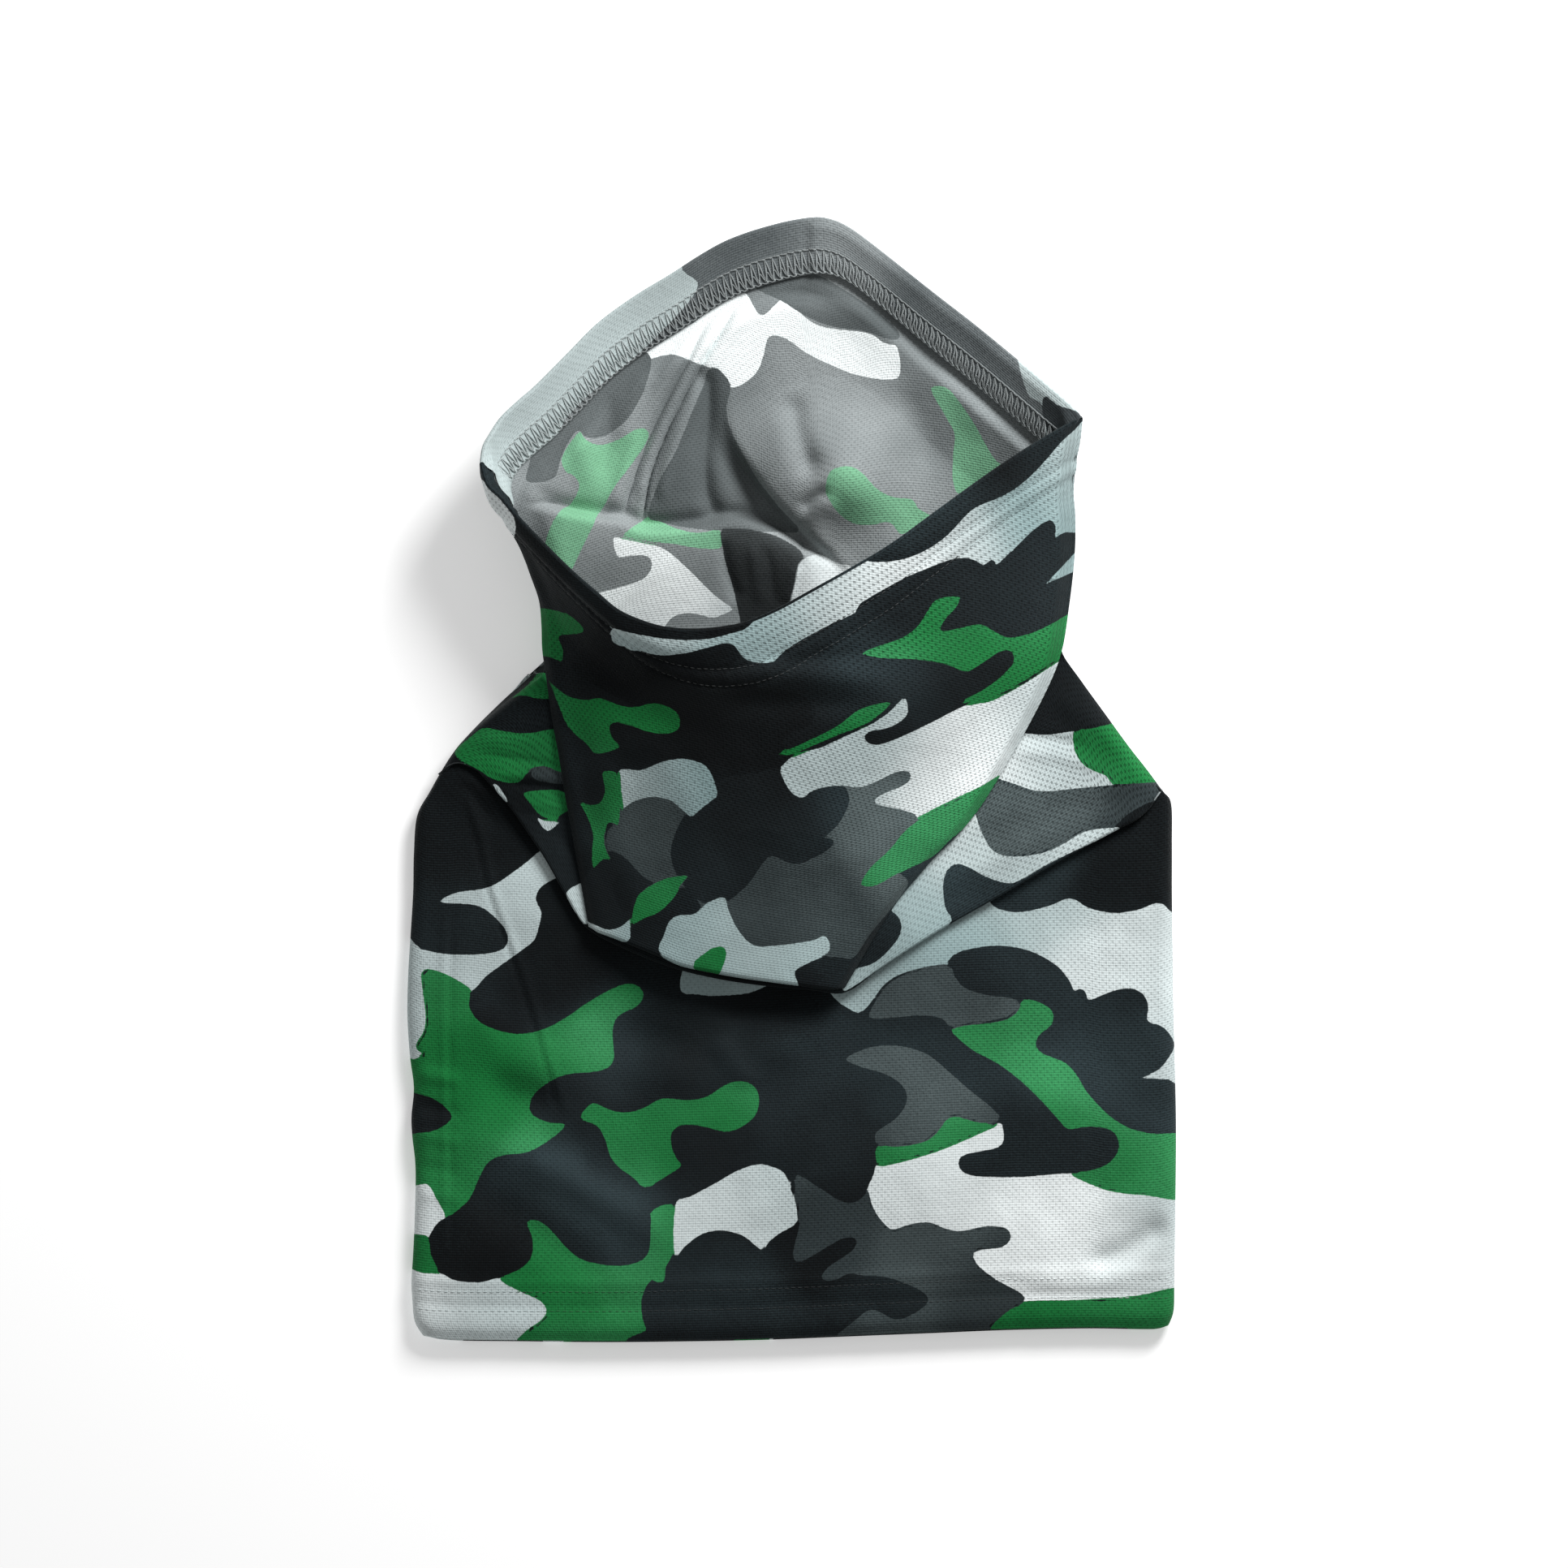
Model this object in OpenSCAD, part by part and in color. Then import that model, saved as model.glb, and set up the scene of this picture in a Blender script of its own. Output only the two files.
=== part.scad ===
// Knitted neck gaiter: a hemmed fabric tube laid out flat on its back, with its upper end slouched
// forward into an open cowl. +X is to the right, +Y runs up the tube towards the cowl's rim, and
// +Z is up from the ground it lies on, towards its front. The origin is the middle of the
// footprint, at z = 0.

/* [Tube] */
// Width of the tube laid flat
tube_w = 250; // [220:1:280]
// Laid length from the lower hem to the highest point of the rim
laid_len = 369; // [330:1:410]
// Thickness of the knitted fabric as a solid
fabric_t = 1.2; // [0.8:0.1:1.4]
// Height of the lower tube where its two layers lie on each other
lower_h = 8; // [7:0.5:9]

/* [Cowl] */
// Height of the front of the rim
rim_front_h = 48; // [40:1:56]
// Height of the rim's two side tips
rim_side_h = 33; // [28:1:38]
// Height of the back of the rim
rim_back_h = 16; // [10:1:22]

/* [Hems] */
// Depth of the folded hem allowance
hem_d = 20; // [16:1:22]
// Distance between the two needle rows
needle_gauge = 6.4; // [4.8:0.2:6.4]
// Length of one stitch
stitch_len = 4.2; // [3:0.2:6]
// Width of a sewing thread
thread_w = 0.5; // [0.3:0.1:0.8]
// Clear gap between neighbouring layers
gap = 0.15; // [0.1:0.05:0.3]

/* [Folds] */
// Distance of the cross fold from the middle, towards the lower hem
fold_y = 92; // [88:1:96]
// Distance of the lower front's bend from the middle, towards the lower hem
bend_y = 115; // [112:1:122]

/* [Hidden] */

// The outline tables are drawn for a tube 250 wide and 369 long
width_scale = tube_w / 250;
length_scale = laid_len / 369;
half_w = tube_w / 2;
half_len = laid_len / 2;
hem_y = -half_len;        // folded edge of the lower hem
lower_end_y = -fold_y - 1;  // the lower and upper tube stop 1 short of the cross fold
upper_start_y = -fold_y + 1;
bend_clear = 0.5;         // from the bend to the panel on either side of it
side_z = 3;               // height of the side folds' mid line
roll_w = 6;               // width of the rolled side fold
panel_columns = 28;       // facets across an upper panel

// ---- Curves ----
// Catmull-Rom segment from b to c
function segment(a, b, c, d, f) =
    0.5 * (2 * b + (c - a) * f + (2 * a - 5 * b + 4 * c - d) * f * f
           + (3 * b - a - 3 * c + d) * f * f * f);
// Point at fraction f along a smooth curve through all knots
function spline(knots, f) =
    let (last = len(knots) - 1, s = min(max(f, 0), 1) * last, i = min(floor(s), last - 1))
    segment(knots[max(i - 1, 0)], knots[i], knots[i + 1], knots[min(i + 2, last)], s - i);
function smooth_step(f) = let (g = min(max(f, 0), 1)) g * g * (3 - 2 * g);
// Coons patch between four edge curves: u runs left to right, v from the low edge to the high one
function patch(low, high, left, right, u, v) =
    (1 - v) * spline(low, u) + v * spline(high, u)
    + (1 - u) * spline(left, v) + u * spline(right, v)
    - ((1 - u) * (1 - v) * low[0] + u * (1 - v) * low[len(low) - 1]
       + (1 - u) * v * high[0] + u * v * high[len(high) - 1]);
function scaled(points) = [for (p = points) [p[0] * width_scale, p[1] * length_scale]];
function reversed(points) = [for (i = [len(points) - 1 : -1 : 0]) points[i]];
// 0 at the middle of a panel, 1 at its sides
function off_middle(u) = abs(2 * u - 1);
// Quarter-round that lifts a layer from its side fold, 0 to 1 over the radius
function rolled(distance, radius) =
    let (f = min(max(distance / radius, 0), 1)) sqrt(1 - (1 - f) * (1 - f));

// ---- Solids from points ----
function quad(a, b, c, d) = [[a, b, c], [a, c, d]];

// Sheet between two copies of shape(u, v), raised by bottom and by top
module sheet(shape, columns, rows, bottom, top) {
    row = columns + 1;
    under = row * (rows + 1);  // index of the first bottom point
    polyhedron(
        points = [for (z = [top, bottom]) for (j = [0 : rows]) for (i = [0 : columns])
            shape(i / columns, j / rows) + [0, 0, z]],
        faces = [
            for (j = [0 : rows - 1]) for (i = [0 : columns - 1]) let (p = j * row + i, q = under + p)
                each concat(quad(p, p + row, p + row + 1, p + 1),
                            quad(q, q + 1, q + row + 1, q + row)),
            for (i = [0 : columns - 1]) let (p = rows * row + i)
                each concat(quad(i, i + 1, under + i + 1, under + i),
                            quad(p, under + p, under + p + 1, p + 1)),
            for (j = [0 : rows - 1]) let (p = j * row, q = p + columns)
                each concat(quad(p, under + p, under + p + row, p + row),
                            quad(q, q + row, under + q + row, under + q))
        ]);
}

// Rectangular cord standing on a path
module cord(path, width = thread_w, height = 0.3) {
    last = len(path) - 1;
    end = 4 * last;
    function across(i) =
        let (d = path[min(i + 1, last)] - path[max(i - 1, 0)], l = norm([d[0], d[1]]))
        [-d[1] / l, d[0] / l, 0];
    polyhedron(
        points = [for (i = [0 : last]) for (corner = [[-1, 0], [1, 0], [1, 1], [-1, 1]])
            path[i] + across(i) * corner[0] * width / 2 + [0, 0, corner[1] * height]],
        faces = concat(
            quad(0, 1, 2, 3),
            [for (i = [0 : last - 1]) for (k = [0 : 3]) let (a = 4 * i + k, b = 4 * i + (k + 1) % 4)
                each quad(a, a + 4, b + 4, b)],
            quad(end, end + 3, end + 2, end + 1)));
}

// Heavier cord for the zigzags on the curved panels
module heavy_cord(path) {
    cord(path, width = 1.6 * thread_w, height = 0.45);
}

// Extrudes an XZ profile along the tube
module along_tube(start_y, end_y) {
    translate([0, end_y, 0]) rotate([90, 0, 0]) linear_extrude(end_y - start_y) children();
}

// ---- Lower tube: two layers with rolled side folds ----
front_crown = 0.8;        // extra height of the front layer at its middle
back_side_z = side_z - 0.3;  // top of the back layer's side folds
front_facets = 40;
roll_facets = 8;

// Height of the front layer at x, inset from its outer face
function front_z(x, inset) =
    side_z + (lower_h - inset - side_z) * rolled(half_w - inset - abs(x), roll_w - inset)
    + front_crown * (1 - pow(x / half_w, 2));
// Stations across the front, crowded towards the sides
function front_x(half, i) =
    let (s = 2 * i / front_facets - 1) half * sign(s) * (1 - pow(1 - abs(s), 1.8));
function front_line(inset) =
    [for (i = [0 : front_facets]) let (x = front_x(half_w - inset, i)) [x, front_z(x, inset)]];
// Quarter-round of the back layer, from its top inwards; side is -1 for left, 1 for right
function back_roll(side, inset) =
    [for (i = [0 : roll_facets]) let (angle = 90 * i / roll_facets)
        [side * (half_w - inset - (roll_w - inset) * (1 - cos(angle))),
         back_side_z - (back_side_z - inset) * sin(angle)]];

module front_profile() {
    polygon(concat(front_line(0), reversed(front_line(fabric_t))));
}
module lower_back_panel() {
    color("slategray") along_tube(hem_y, lower_end_y)
        polygon(concat(back_roll(-1, 0), reversed(back_roll(1, 0)),
                       back_roll(1, fabric_t), reversed(back_roll(-1, fabric_t))));
}
module lower_front_panel() {
    color("seagreen") along_tube(hem_y, -bend_y - bend_clear) front_profile();
}
module waist_front_panel() {
    color("seagreen") along_tube(-bend_y + bend_clear, lower_end_y) front_profile();
}

// ---- Upper tube ----
// Outlines are [x, y]; edges across run left to right, side folds run up the tube
cross_fold = [[-half_w + 1.5, upper_start_y], [0, upper_start_y], [half_w - 1, upper_start_y]];
fold_left = [cross_fold[0]];
fold_right = [cross_fold[2]];

// Upper back: from the cross fold to the back of the rim
back_rim = scaled([[-102.2, 104], [-73.5, 140.5], [-33.5, 170], [6.5, 184.5],
                   [33.5, 170.5], [60, 150.5], [95.6, 119.4]]);
back_left = concat(fold_left,
    scaled([[-123.5, -13], [-103, 16], [-83, 45], [-85, 68], [-102.2, 104]]));
back_right = concat(fold_right,
    scaled([[125.5, -11], [109, 14], [90, 43], [93, 78], [95.6, 119.4]]));
// Underside heights up the sides and the middle, and how sharply the sides turn up
back_sides_z = [1.7, 1.7, 3, 8, 14, rim_side_h - 2.8];
back_middle_z = [0, 0, 0, 0, 5, rim_back_h - 1.2];
back_sharpness = [16, 14, 10, 6, 4, 2.2];
function upper_back(u, v) =
    let (p = patch(cross_fold, back_rim, back_left, back_right, u, v),
         side = spline(back_sides_z, v), middle = max(spline(back_middle_z, v), 0),
         z = middle + (side - middle) * pow(off_middle(u), spline(back_sharpness, v)))
    [min(max(p[0], -half_w), half_w), min(p[1], half_len), max(z, 0)];
// Approximate length from the cross fold to the rim
function back_len(u) = length_scale * (258 - 60 * pow(off_middle(u), 2));

module upper_back_panel() {
    color("darkgray")
        sheet(function (u, v) upper_back(u, v), panel_columns, 26, bottom = 0, top = fabric_t);
}

// Upper front: the layer under the cowl, with both shoulders
shoulder_top = scaled([[-80, 38], [0, 40], [86, 42]]);
shoulder_left = concat(fold_left, scaled([[-123.5, -35], [-122, -10], [-104, 14], [-80, 38]]));
shoulder_right = concat(fold_right, scaled([[125.5, -35], [125, -9], [108, 14], [86, 42]]));
function upper_front(u, v) =
    let (p = patch(cross_fold, shoulder_top, shoulder_left, shoulder_right, u, v),
         width = (250 - 80 * v) * width_scale,
         side = 5 + 5.6 * smooth_step((v - 0.45) / 0.55),
         middle = lower_h - 0.2 + 3 * smooth_step(v * 1.4))
    [min(max(p[0], -half_w), half_w), p[1],
     side + (middle - side) * rolled(min(u, 1 - u) * width, roll_w)];

module upper_front_panel() {
    color("seagreen")
        sheet(function (u, v) upper_front(u, v), panel_columns, 14, bottom = -fabric_t, top = 0);
}

// Cowl front: from its lower edge to the front of the rim
cowl_low = scaled([[-67.5, -48], [-53.5, -53], [-25, -62], [-4, -66], [17.5, -68.5]]);
cowl_rim = scaled([[-102, 103], [-89.5, 85.5], [-57.5, 57.5], [-30.5, 49],
                   [6.5, 61], [50, 87], [95.5, 119]]);
cowl_left = scaled([[-67.5, -48], [-76, 5], [-82, 35], [-83, 59], [-102, 103]]);
cowl_right = scaled([[17.5, -68.5], [36, -39], [71, 5], [89.5, 43], [93.5, 70], [95.5, 119]]);
// Upper face heights up the sides and the middle
cowl_sides_z = [12.6, 12.6, 13, 18, rim_side_h];
cowl_middle_z = [15, 19, 28, 38, rim_front_h];
function cowl_front(u, v) =
    let (p = patch(cowl_low, cowl_rim, cowl_left, cowl_right, u, v),
         side = spline(cowl_sides_z, v), middle = spline(cowl_middle_z, v))
    [p[0], p[1], side + (middle - side) * (1 - pow(off_middle(u), 2.6))];
// Approximate length from the lower edge to the rim
function cowl_len(u) = length_scale * (118 + 48 * pow(off_middle(u), 1.5));

module cowl_front_panel() {
    color("darkslategray")
        sheet(function (u, v) cowl_front(u, v), panel_columns, 20, bottom = -fabric_t, top = 0);
}

// Flat return layer of the fold under the cowl's lower edge
tuck_z = lower_h + 2.8 + gap;
tuck_t = 0.6;
function tuck(u, v) = let (p = cowl_front(0.08 + 0.84 * u, 0.02 + 0.3 * v)) [p[0], p[1], tuck_z];
module cowl_tuck() {
    color("gray") sheet(function (u, v) tuck(u, v), 20, 6, bottom = 0, top = tuck_t);
}

// ---- Hems: the allowance folded to the inside ----
hem_t = 0.8;              // thickness of an allowance
hem_near = fabric_t + gap;  // from a panel's outer face to the allowance's near face
hem_far = hem_near + hem_t; // and to its far face
hem_start_y = hem_y + 0.5;
hem_half_w = half_w - 8;
hem_facets = 16;

// Points on the cowl at a distance from the rim, kept off the sides; margin is a fraction of v
function hem_u(u) = 0.02 + 0.96 * u;
function below_front_rim(u, distance, margin = 0) =
    cowl_front(hem_u(u), 1 - margin - distance / cowl_len(u));
function below_back_rim(u, distance) = upper_back(hem_u(u), 1 - 0.004 - distance / back_len(u));

function front_hem_line(drop) =
    [for (i = [0 : hem_facets]) let (x = -hem_half_w + 2 * hem_half_w * i / hem_facets)
        [x, front_z(x, fabric_t) - drop]];
module lower_hem_front() {
    color("whitesmoke") along_tube(hem_start_y, hem_y + hem_d)
        polygon(concat(front_hem_line(gap), reversed(front_hem_line(gap + hem_t))));
}
module lower_hem_back() {
    color("whitesmoke") translate([-hem_half_w, hem_start_y, hem_near])
        cube([2 * hem_half_w, hem_y + hem_d - hem_start_y, hem_t]);
}
module cowl_hem_front() {
    color("whitesmoke")
        sheet(function (u, v) below_front_rim(u, (1 - v) * hem_d, margin = 0.002),
              panel_columns, 4, bottom = -hem_far, top = -hem_near);
}
module cowl_hem_back() {
    color("whitesmoke")
        sheet(function (u, v) below_back_rim(u, (1 - v) * hem_d),
              panel_columns, 4, bottom = hem_near, top = hem_far);
}

// ---- Side seam: both cut edges, overlocked together, inside the left side fold ----
seam_x = -half_w + 10;
seam_w = 6;
seam_start_y = hem_y + hem_d + 1;
seam_len = -fold_y - 2 - seam_start_y;
seam_z = fabric_t + gap;
lower_seam_t = 1.2;
upper_seam_t = 0.8;

function upper_seam(u, v) = upper_back(0.035 + 0.018 * u, 0.03 + 0.85 * v);
module side_seam_lower() {
    color("gainsboro") translate([seam_x, seam_start_y, seam_z])
        cube([seam_w, seam_len, lower_seam_t]);
}
module side_seam_upper() {
    color("gainsboro") sheet(function (u, v) upper_seam(u, v), 2, 24,
                             bottom = seam_z, top = seam_z + upper_seam_t);
}

// ---- Threads ----
// Distances of the two needle rows from the folded edge
row_a = hem_d - needle_gauge;
row_b = hem_d - 0.6;
back_row_shift = 0.2;     // moves the back's needle rows apart
zigzag_inset = 0.8;       // from a needle row or seam edge to the zigzag's turns
flat_lift = 0.02;         // clearance over a flat or straight layer
cowl_lift = 0.12;         // clearance over the cowl front and the upper seam
back_lift = 0.35;         // clearance over the cowl's back allowance
row_half_w = half_w - 9;
cowl_zigzag_len = 105 * width_scale;
upper_seam_zigzag_len = 95 * length_scale;

function even(i) = i % 2 == 0;
// Two steps of a zigzag for each stitch
function zigzag_steps(length) = round(length / stitch_len) * 2;
function row_x(i, steps) = (-1 + 2 * i / steps) * row_half_w;
// Distance of the looper thread's turn i from the folded edge
function looper_row(i) = even(i) ? row_a + zigzag_inset : row_b - zigzag_inset;

module lower_row(distance, front) {
    cord([for (i = [0 : 30]) let (x = row_x(i, 30))
        [x, hem_y + distance, (front ? front_z(x, 0) : hem_far) + flat_lift]]);
}
module lower_zigzag(front) {
    steps = zigzag_steps(2 * row_half_w);
    cord([for (i = [0 : steps]) let (x = row_x(i, steps))
        [x, hem_y + looper_row(i),
         front ? front_z(x, fabric_t) - gap - hem_t - 0.35 : hem_far + flat_lift]]);
}
// Across the cowl; shape(u, distance) is a point below the rim, raised by lift
module cowl_row(shape, distance, lift) {
    cord([for (i = [0 : 40]) shape(i / 40, distance) + [0, 0, lift]]);
}
module cowl_zigzag(shape, lift) {
    steps = zigzag_steps(cowl_zigzag_len);
    heavy_cord([for (i = [0 : steps])
        shape(0.05 + 0.9 * i / steps, looper_row(i)) + [0, 0, lift]]);
}
module cowl_front_row(distance) {
    cowl_row(function (u, d) below_front_rim(u, d), distance, cowl_lift);
}
module cowl_back_row(distance) {
    cowl_row(function (u, d) below_back_rim(u, d), distance, hem_far + back_lift);
}

module lower_back_needle_thread_a() { color("white") lower_row(row_a - back_row_shift, false); }
module lower_back_needle_thread_b() { color("white") lower_row(row_b + back_row_shift, false); }
module lower_back_looper_thread() { color("white") lower_zigzag(false); }
module lower_front_needle_thread_a() { color("white") lower_row(row_a, true); }
module lower_front_needle_thread_b() { color("white") lower_row(row_b, true); }
module lower_front_looper_thread() { color("white") lower_zigzag(true); }
module cowl_back_needle_thread_a() { color("white") cowl_back_row(row_a - back_row_shift); }
module cowl_back_needle_thread_b() { color("white") cowl_back_row(row_b + back_row_shift); }
module cowl_back_looper_thread() {
    color("white") cowl_zigzag(function (u, d) below_back_rim(u, d), hem_far + back_lift);
}
module cowl_front_needle_thread_a() { color("white") cowl_front_row(row_a); }
module cowl_front_needle_thread_b() { color("white") cowl_front_row(row_b); }
module cowl_front_looper_thread() {
    color("white") cowl_zigzag(function (u, d) below_front_rim(u, d), -hem_far - 0.75);
}
module side_seam_thread_lower() {
    length = seam_len - 2;
    steps = zigzag_steps(length);
    color("white") cord([for (i = [0 : steps])
        [seam_x + (even(i) ? zigzag_inset : seam_w - zigzag_inset),
         seam_start_y + 1 + length * i / steps, seam_z + lower_seam_t + flat_lift]]);
}
module side_seam_thread_upper() {
    steps = zigzag_steps(upper_seam_zigzag_len);
    color("white") heavy_cord([for (i = [0 : steps])
        upper_seam(even(i) ? 0.15 : 0.85, 0.01 + 0.97 * i / steps)
        + [0, 0, seam_z + upper_seam_t + cowl_lift]]);
}

lower_back_panel();
lower_front_panel();
waist_front_panel();
upper_back_panel();
upper_front_panel();
cowl_tuck();
cowl_front_panel();
lower_hem_back();
lower_hem_front();
cowl_hem_back();
cowl_hem_front();
side_seam_lower();
side_seam_upper();
side_seam_thread_lower();
side_seam_thread_upper();
lower_back_needle_thread_a();
lower_back_needle_thread_b();
lower_back_looper_thread();
lower_front_needle_thread_a();
lower_front_needle_thread_b();
lower_front_looper_thread();
cowl_back_needle_thread_a();
cowl_back_needle_thread_b();
cowl_back_looper_thread();
cowl_front_needle_thread_a();
cowl_front_needle_thread_b();
cowl_front_looper_thread();
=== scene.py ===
"""A knitted neck gaiter with a loose cowl, laid flat on a table.

In the row frame +X is right, +Y runs from the hem up to the cowl's rim and +Z points up off the
table. The front lies on top. The cowl's front hangs below the back of its rim, so the inside of
the back shows in the mouth between them.
"""

import math

import bpy
import numpy as np
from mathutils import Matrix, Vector


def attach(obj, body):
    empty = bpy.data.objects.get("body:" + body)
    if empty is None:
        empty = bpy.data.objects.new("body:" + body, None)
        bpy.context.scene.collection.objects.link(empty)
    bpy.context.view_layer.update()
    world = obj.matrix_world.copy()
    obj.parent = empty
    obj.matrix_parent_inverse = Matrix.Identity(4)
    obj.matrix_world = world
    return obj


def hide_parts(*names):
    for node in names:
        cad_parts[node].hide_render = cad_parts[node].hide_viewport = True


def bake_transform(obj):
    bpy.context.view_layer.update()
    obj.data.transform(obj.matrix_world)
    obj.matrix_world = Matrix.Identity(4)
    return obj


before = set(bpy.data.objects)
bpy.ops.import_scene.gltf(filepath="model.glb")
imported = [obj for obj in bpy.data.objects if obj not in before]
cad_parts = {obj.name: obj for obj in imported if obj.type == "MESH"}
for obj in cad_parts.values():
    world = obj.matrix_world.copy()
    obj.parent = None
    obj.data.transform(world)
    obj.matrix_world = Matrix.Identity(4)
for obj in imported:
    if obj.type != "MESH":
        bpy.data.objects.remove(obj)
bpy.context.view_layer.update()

# ------------------------------------------------------------------------------------------------
# Driving values. Plan shapes are drawn on a layout sheet with x to the right and y downwards, in
# steps of UNIT; heights above the table, lengths along the cloth and radii are in mm.
# ------------------------------------------------------------------------------------------------
UNIT = 0.2674                         # mm per step of the sheet
ORIGIN = np.array((975.0, 960.0))     # sheet point at the origin of the row frame
AXIS = np.array((966.0, 966.0))       # sheet point under the camera
CAMERA_HEIGHT = 2870.0
KNIT_THICK = 0.7
HEM_THICK = 0.6                       # the plies turned in at the hems
PRINT_REACH = 12.0                    # the print's signed distances are clipped here, sheet steps
BEND_Y = 1390.0                       # the cloth is cut across at this sheet height

LOW_ROWS, WAIST_ROWS = 52, 98         # rows of faces below and above the cut
LOWER_COLUMNS, SHOULDER_COLUMNS, COWL_COLUMNS, BACK_COLUMNS = 176, 190, 196, 240
SHOULDER_ROWS, COWL_ROWS = 62, 150
ROUND_STEPS, TURNED_ROWS = 7, 15      # round the edge of a hem, and along its inside

ROW_A, ROW_B = 13.8, 20.3             # stitch rows of the cowl's front, from the rim
BACK_ROW_A, BACK_ROW_B = 9.7, 17.6    # the same on the back of the rim
HEM_ROW_A, HEM_ROW_B = 10.0, 16.4     # stitch rows of the lower hem
RIM_RADIUS, HEM_RADIUS = 0.85, 0.75   # of the turned edges
RIM_FRONT_DEPTH, RIM_BACK_DEPTH, HEM_DEPTH = 21.0, 18.2, 17.0
SEAM_IN, SEAM_OUT = 8.0, 13.6         # side seam allowance, from the left fold


# ------------------------------------------------------------------------------------------------
# Curves, grids and fields
# ------------------------------------------------------------------------------------------------


def points(text, columns=2):
    """The rows of a table written as text."""
    return np.array(text.replace(",", " ").split(), float).reshape(-1, columns)


def curve(stations, per=12, closed=False):
    """Catmull-Rom curve through the stations, with per points to each span."""
    knots = np.asarray(stations, float)
    n = len(knots)
    t = np.linspace(0, 1, per, endpoint=False)[:, None]
    out = []
    for i in range(n if closed else n - 1):
        picks = (i - 1, i, i + 1, i + 2)
        if closed:
            before, start, end, after = (knots[j % n] for j in picks)
        else:
            before, start, end, after = (knots[min(max(j, 0), n - 1)] for j in picks)
        out.append(0.5 * (2 * start + (end - before) * t
                          + (2 * before - 5 * start + 4 * end - after) * t ** 2
                          + (3 * start - before - 3 * end + after) * t ** 3))
    if not closed:
        out.append(knots[-1:])
    return np.concatenate(out)


def arc_length(line):
    """Length along a polyline at each of its points."""
    return np.r_[0, np.cumsum(np.linalg.norm(np.diff(line, axis=0), axis=1))]


def resample(line, count, fractions=None):
    """Points at even spacing along a polyline, or at the given fractions of it."""
    length = arc_length(line)
    along = (np.linspace(0, 1, count) if fractions is None else fractions) * length[-1]
    return np.stack([np.interp(along, length, line[:, k]) for k in range(line.shape[1])], 1)


def patch(bottom, top, left, right, fractions):
    """Coons grid: rows along left and right, columns at the given fractions of bottom and top."""
    low, high = (resample(side, len(fractions), fractions) for side in (bottom, top))
    u = fractions[None, :, None]
    left_length, right_length = arc_length(left), arc_length(right)
    v = ((left_length / left_length[-1] + right_length / right_length[-1]) / 2)[:, None, None]
    return ((1 - v) * low[None] + v * high[None] + (1 - u) * left[:, None] + u * right[:, None]
            - ((1 - u) * (1 - v) * low[0] + u * (1 - v) * low[-1]
               + (1 - u) * v * high[0] + u * v * high[-1]))


def spaced(count, edge=0.35):
    """Column fractions, denser near both side folds."""
    s = np.linspace(-1, 1, count)
    return (s * (1 - edge) + edge * np.sin(s * np.pi / 2) + 1) / 2


def nearest(line, spot):
    return np.argmin(np.hypot(line[:, 0] - spot[0], line[:, 1] - spot[1]))


def cut_at(line, y, rows_below, rows_above):
    """Resamples a side curve so that one row lies exactly at sheet height y."""
    k = np.argmax(line[:, 1] <= y)
    t = (line[k - 1, 1] - y) / (line[k - 1, 1] - line[k, 1])
    cut = line[k - 1] + t * (line[k] - line[k - 1])
    below = resample(np.vstack([line[:k], cut]), rows_below + 1)
    above = resample(np.vstack([cut, line[k:]]), rows_above + 1)
    return np.vstack([below, above[1:]])


def smooth(t):
    t = np.clip(t, 0, 1)
    return t * t * (3 - 2 * t)


def rolled(distance, radius):
    """Quarter-round rise from 0 at an edge to 1 at the radius."""
    f = np.clip(distance / radius, 0, 1)
    return np.sqrt(np.maximum(1 - (1 - f) ** 2, 0))


def end_fade(count, reach):
    """Rises from 0 at both ends of a row of columns to 1 inside."""
    index = np.arange(count)
    return smooth(np.minimum(index, index[::-1]) / reach)


def side_distances(grid):
    """Distance of every point from the two ends of its row, in sheet steps."""
    x, y = grid[..., 0], grid[..., 1]
    return (np.hypot(x - x[:, :1], y - y[:, :1]), np.hypot(x - x[:, -1:], y - y[:, -1:]))


def to_line(grid, line, closed=False):
    """(distance, fraction along, signed side) of every point against a polyline."""
    x, y = grid[..., 0], grid[..., 1]
    if closed:
        line = np.vstack([line, line[:1]])
    length = arc_length(line)
    best = np.full(x.shape, 1e9)
    fraction = np.zeros(x.shape)
    side = np.zeros(x.shape)
    for i in range(len(line) - 1):
        start_x, start_y = line[i]
        step_x, step_y = line[i + 1] - line[i]
        square = step_x * step_x + step_y * step_y
        if square < 1e-9:
            continue
        t = np.clip(((x - start_x) * step_x + (y - start_y) * step_y) / square, 0, 1)
        off_x, off_y = x - start_x - t * step_x, y - start_y - t * step_y
        distance = np.hypot(off_x, off_y)
        closer = distance < best
        best = np.where(closer, distance, best)
        fraction = np.where(closer, (length[i] + t * math.sqrt(square)) / length[-1], fraction)
        side = np.where(closer, np.sign(step_x * off_y - step_y * off_x), side)
    return best, fraction, side


def inside(grid, outline):
    """Even-odd test of every point against a closed outline."""
    x, y = grid[..., 0], grid[..., 1]
    out = np.zeros(x.shape, bool)
    for (x1, y1), (x2, y2) in zip(outline, np.roll(outline, 1, axis=0)):
        if y1 != y2:
            out ^= ((y1 > y) != (y2 > y)) & (x < (x2 - x1) * (y - y1) / (y2 - y1) + x1)
    return out


def ridge(grid, height, width, taper, stations):
    """A soft ridge, or a furrow where the height is negative, fading out at both ends."""
    distance, fraction, _ = to_line(grid, curve(stations, 6))
    ends = smooth(fraction / taper) * smooth((1 - fraction) / taper)
    return height * np.exp(-(distance / width) ** 2) * ends


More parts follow.
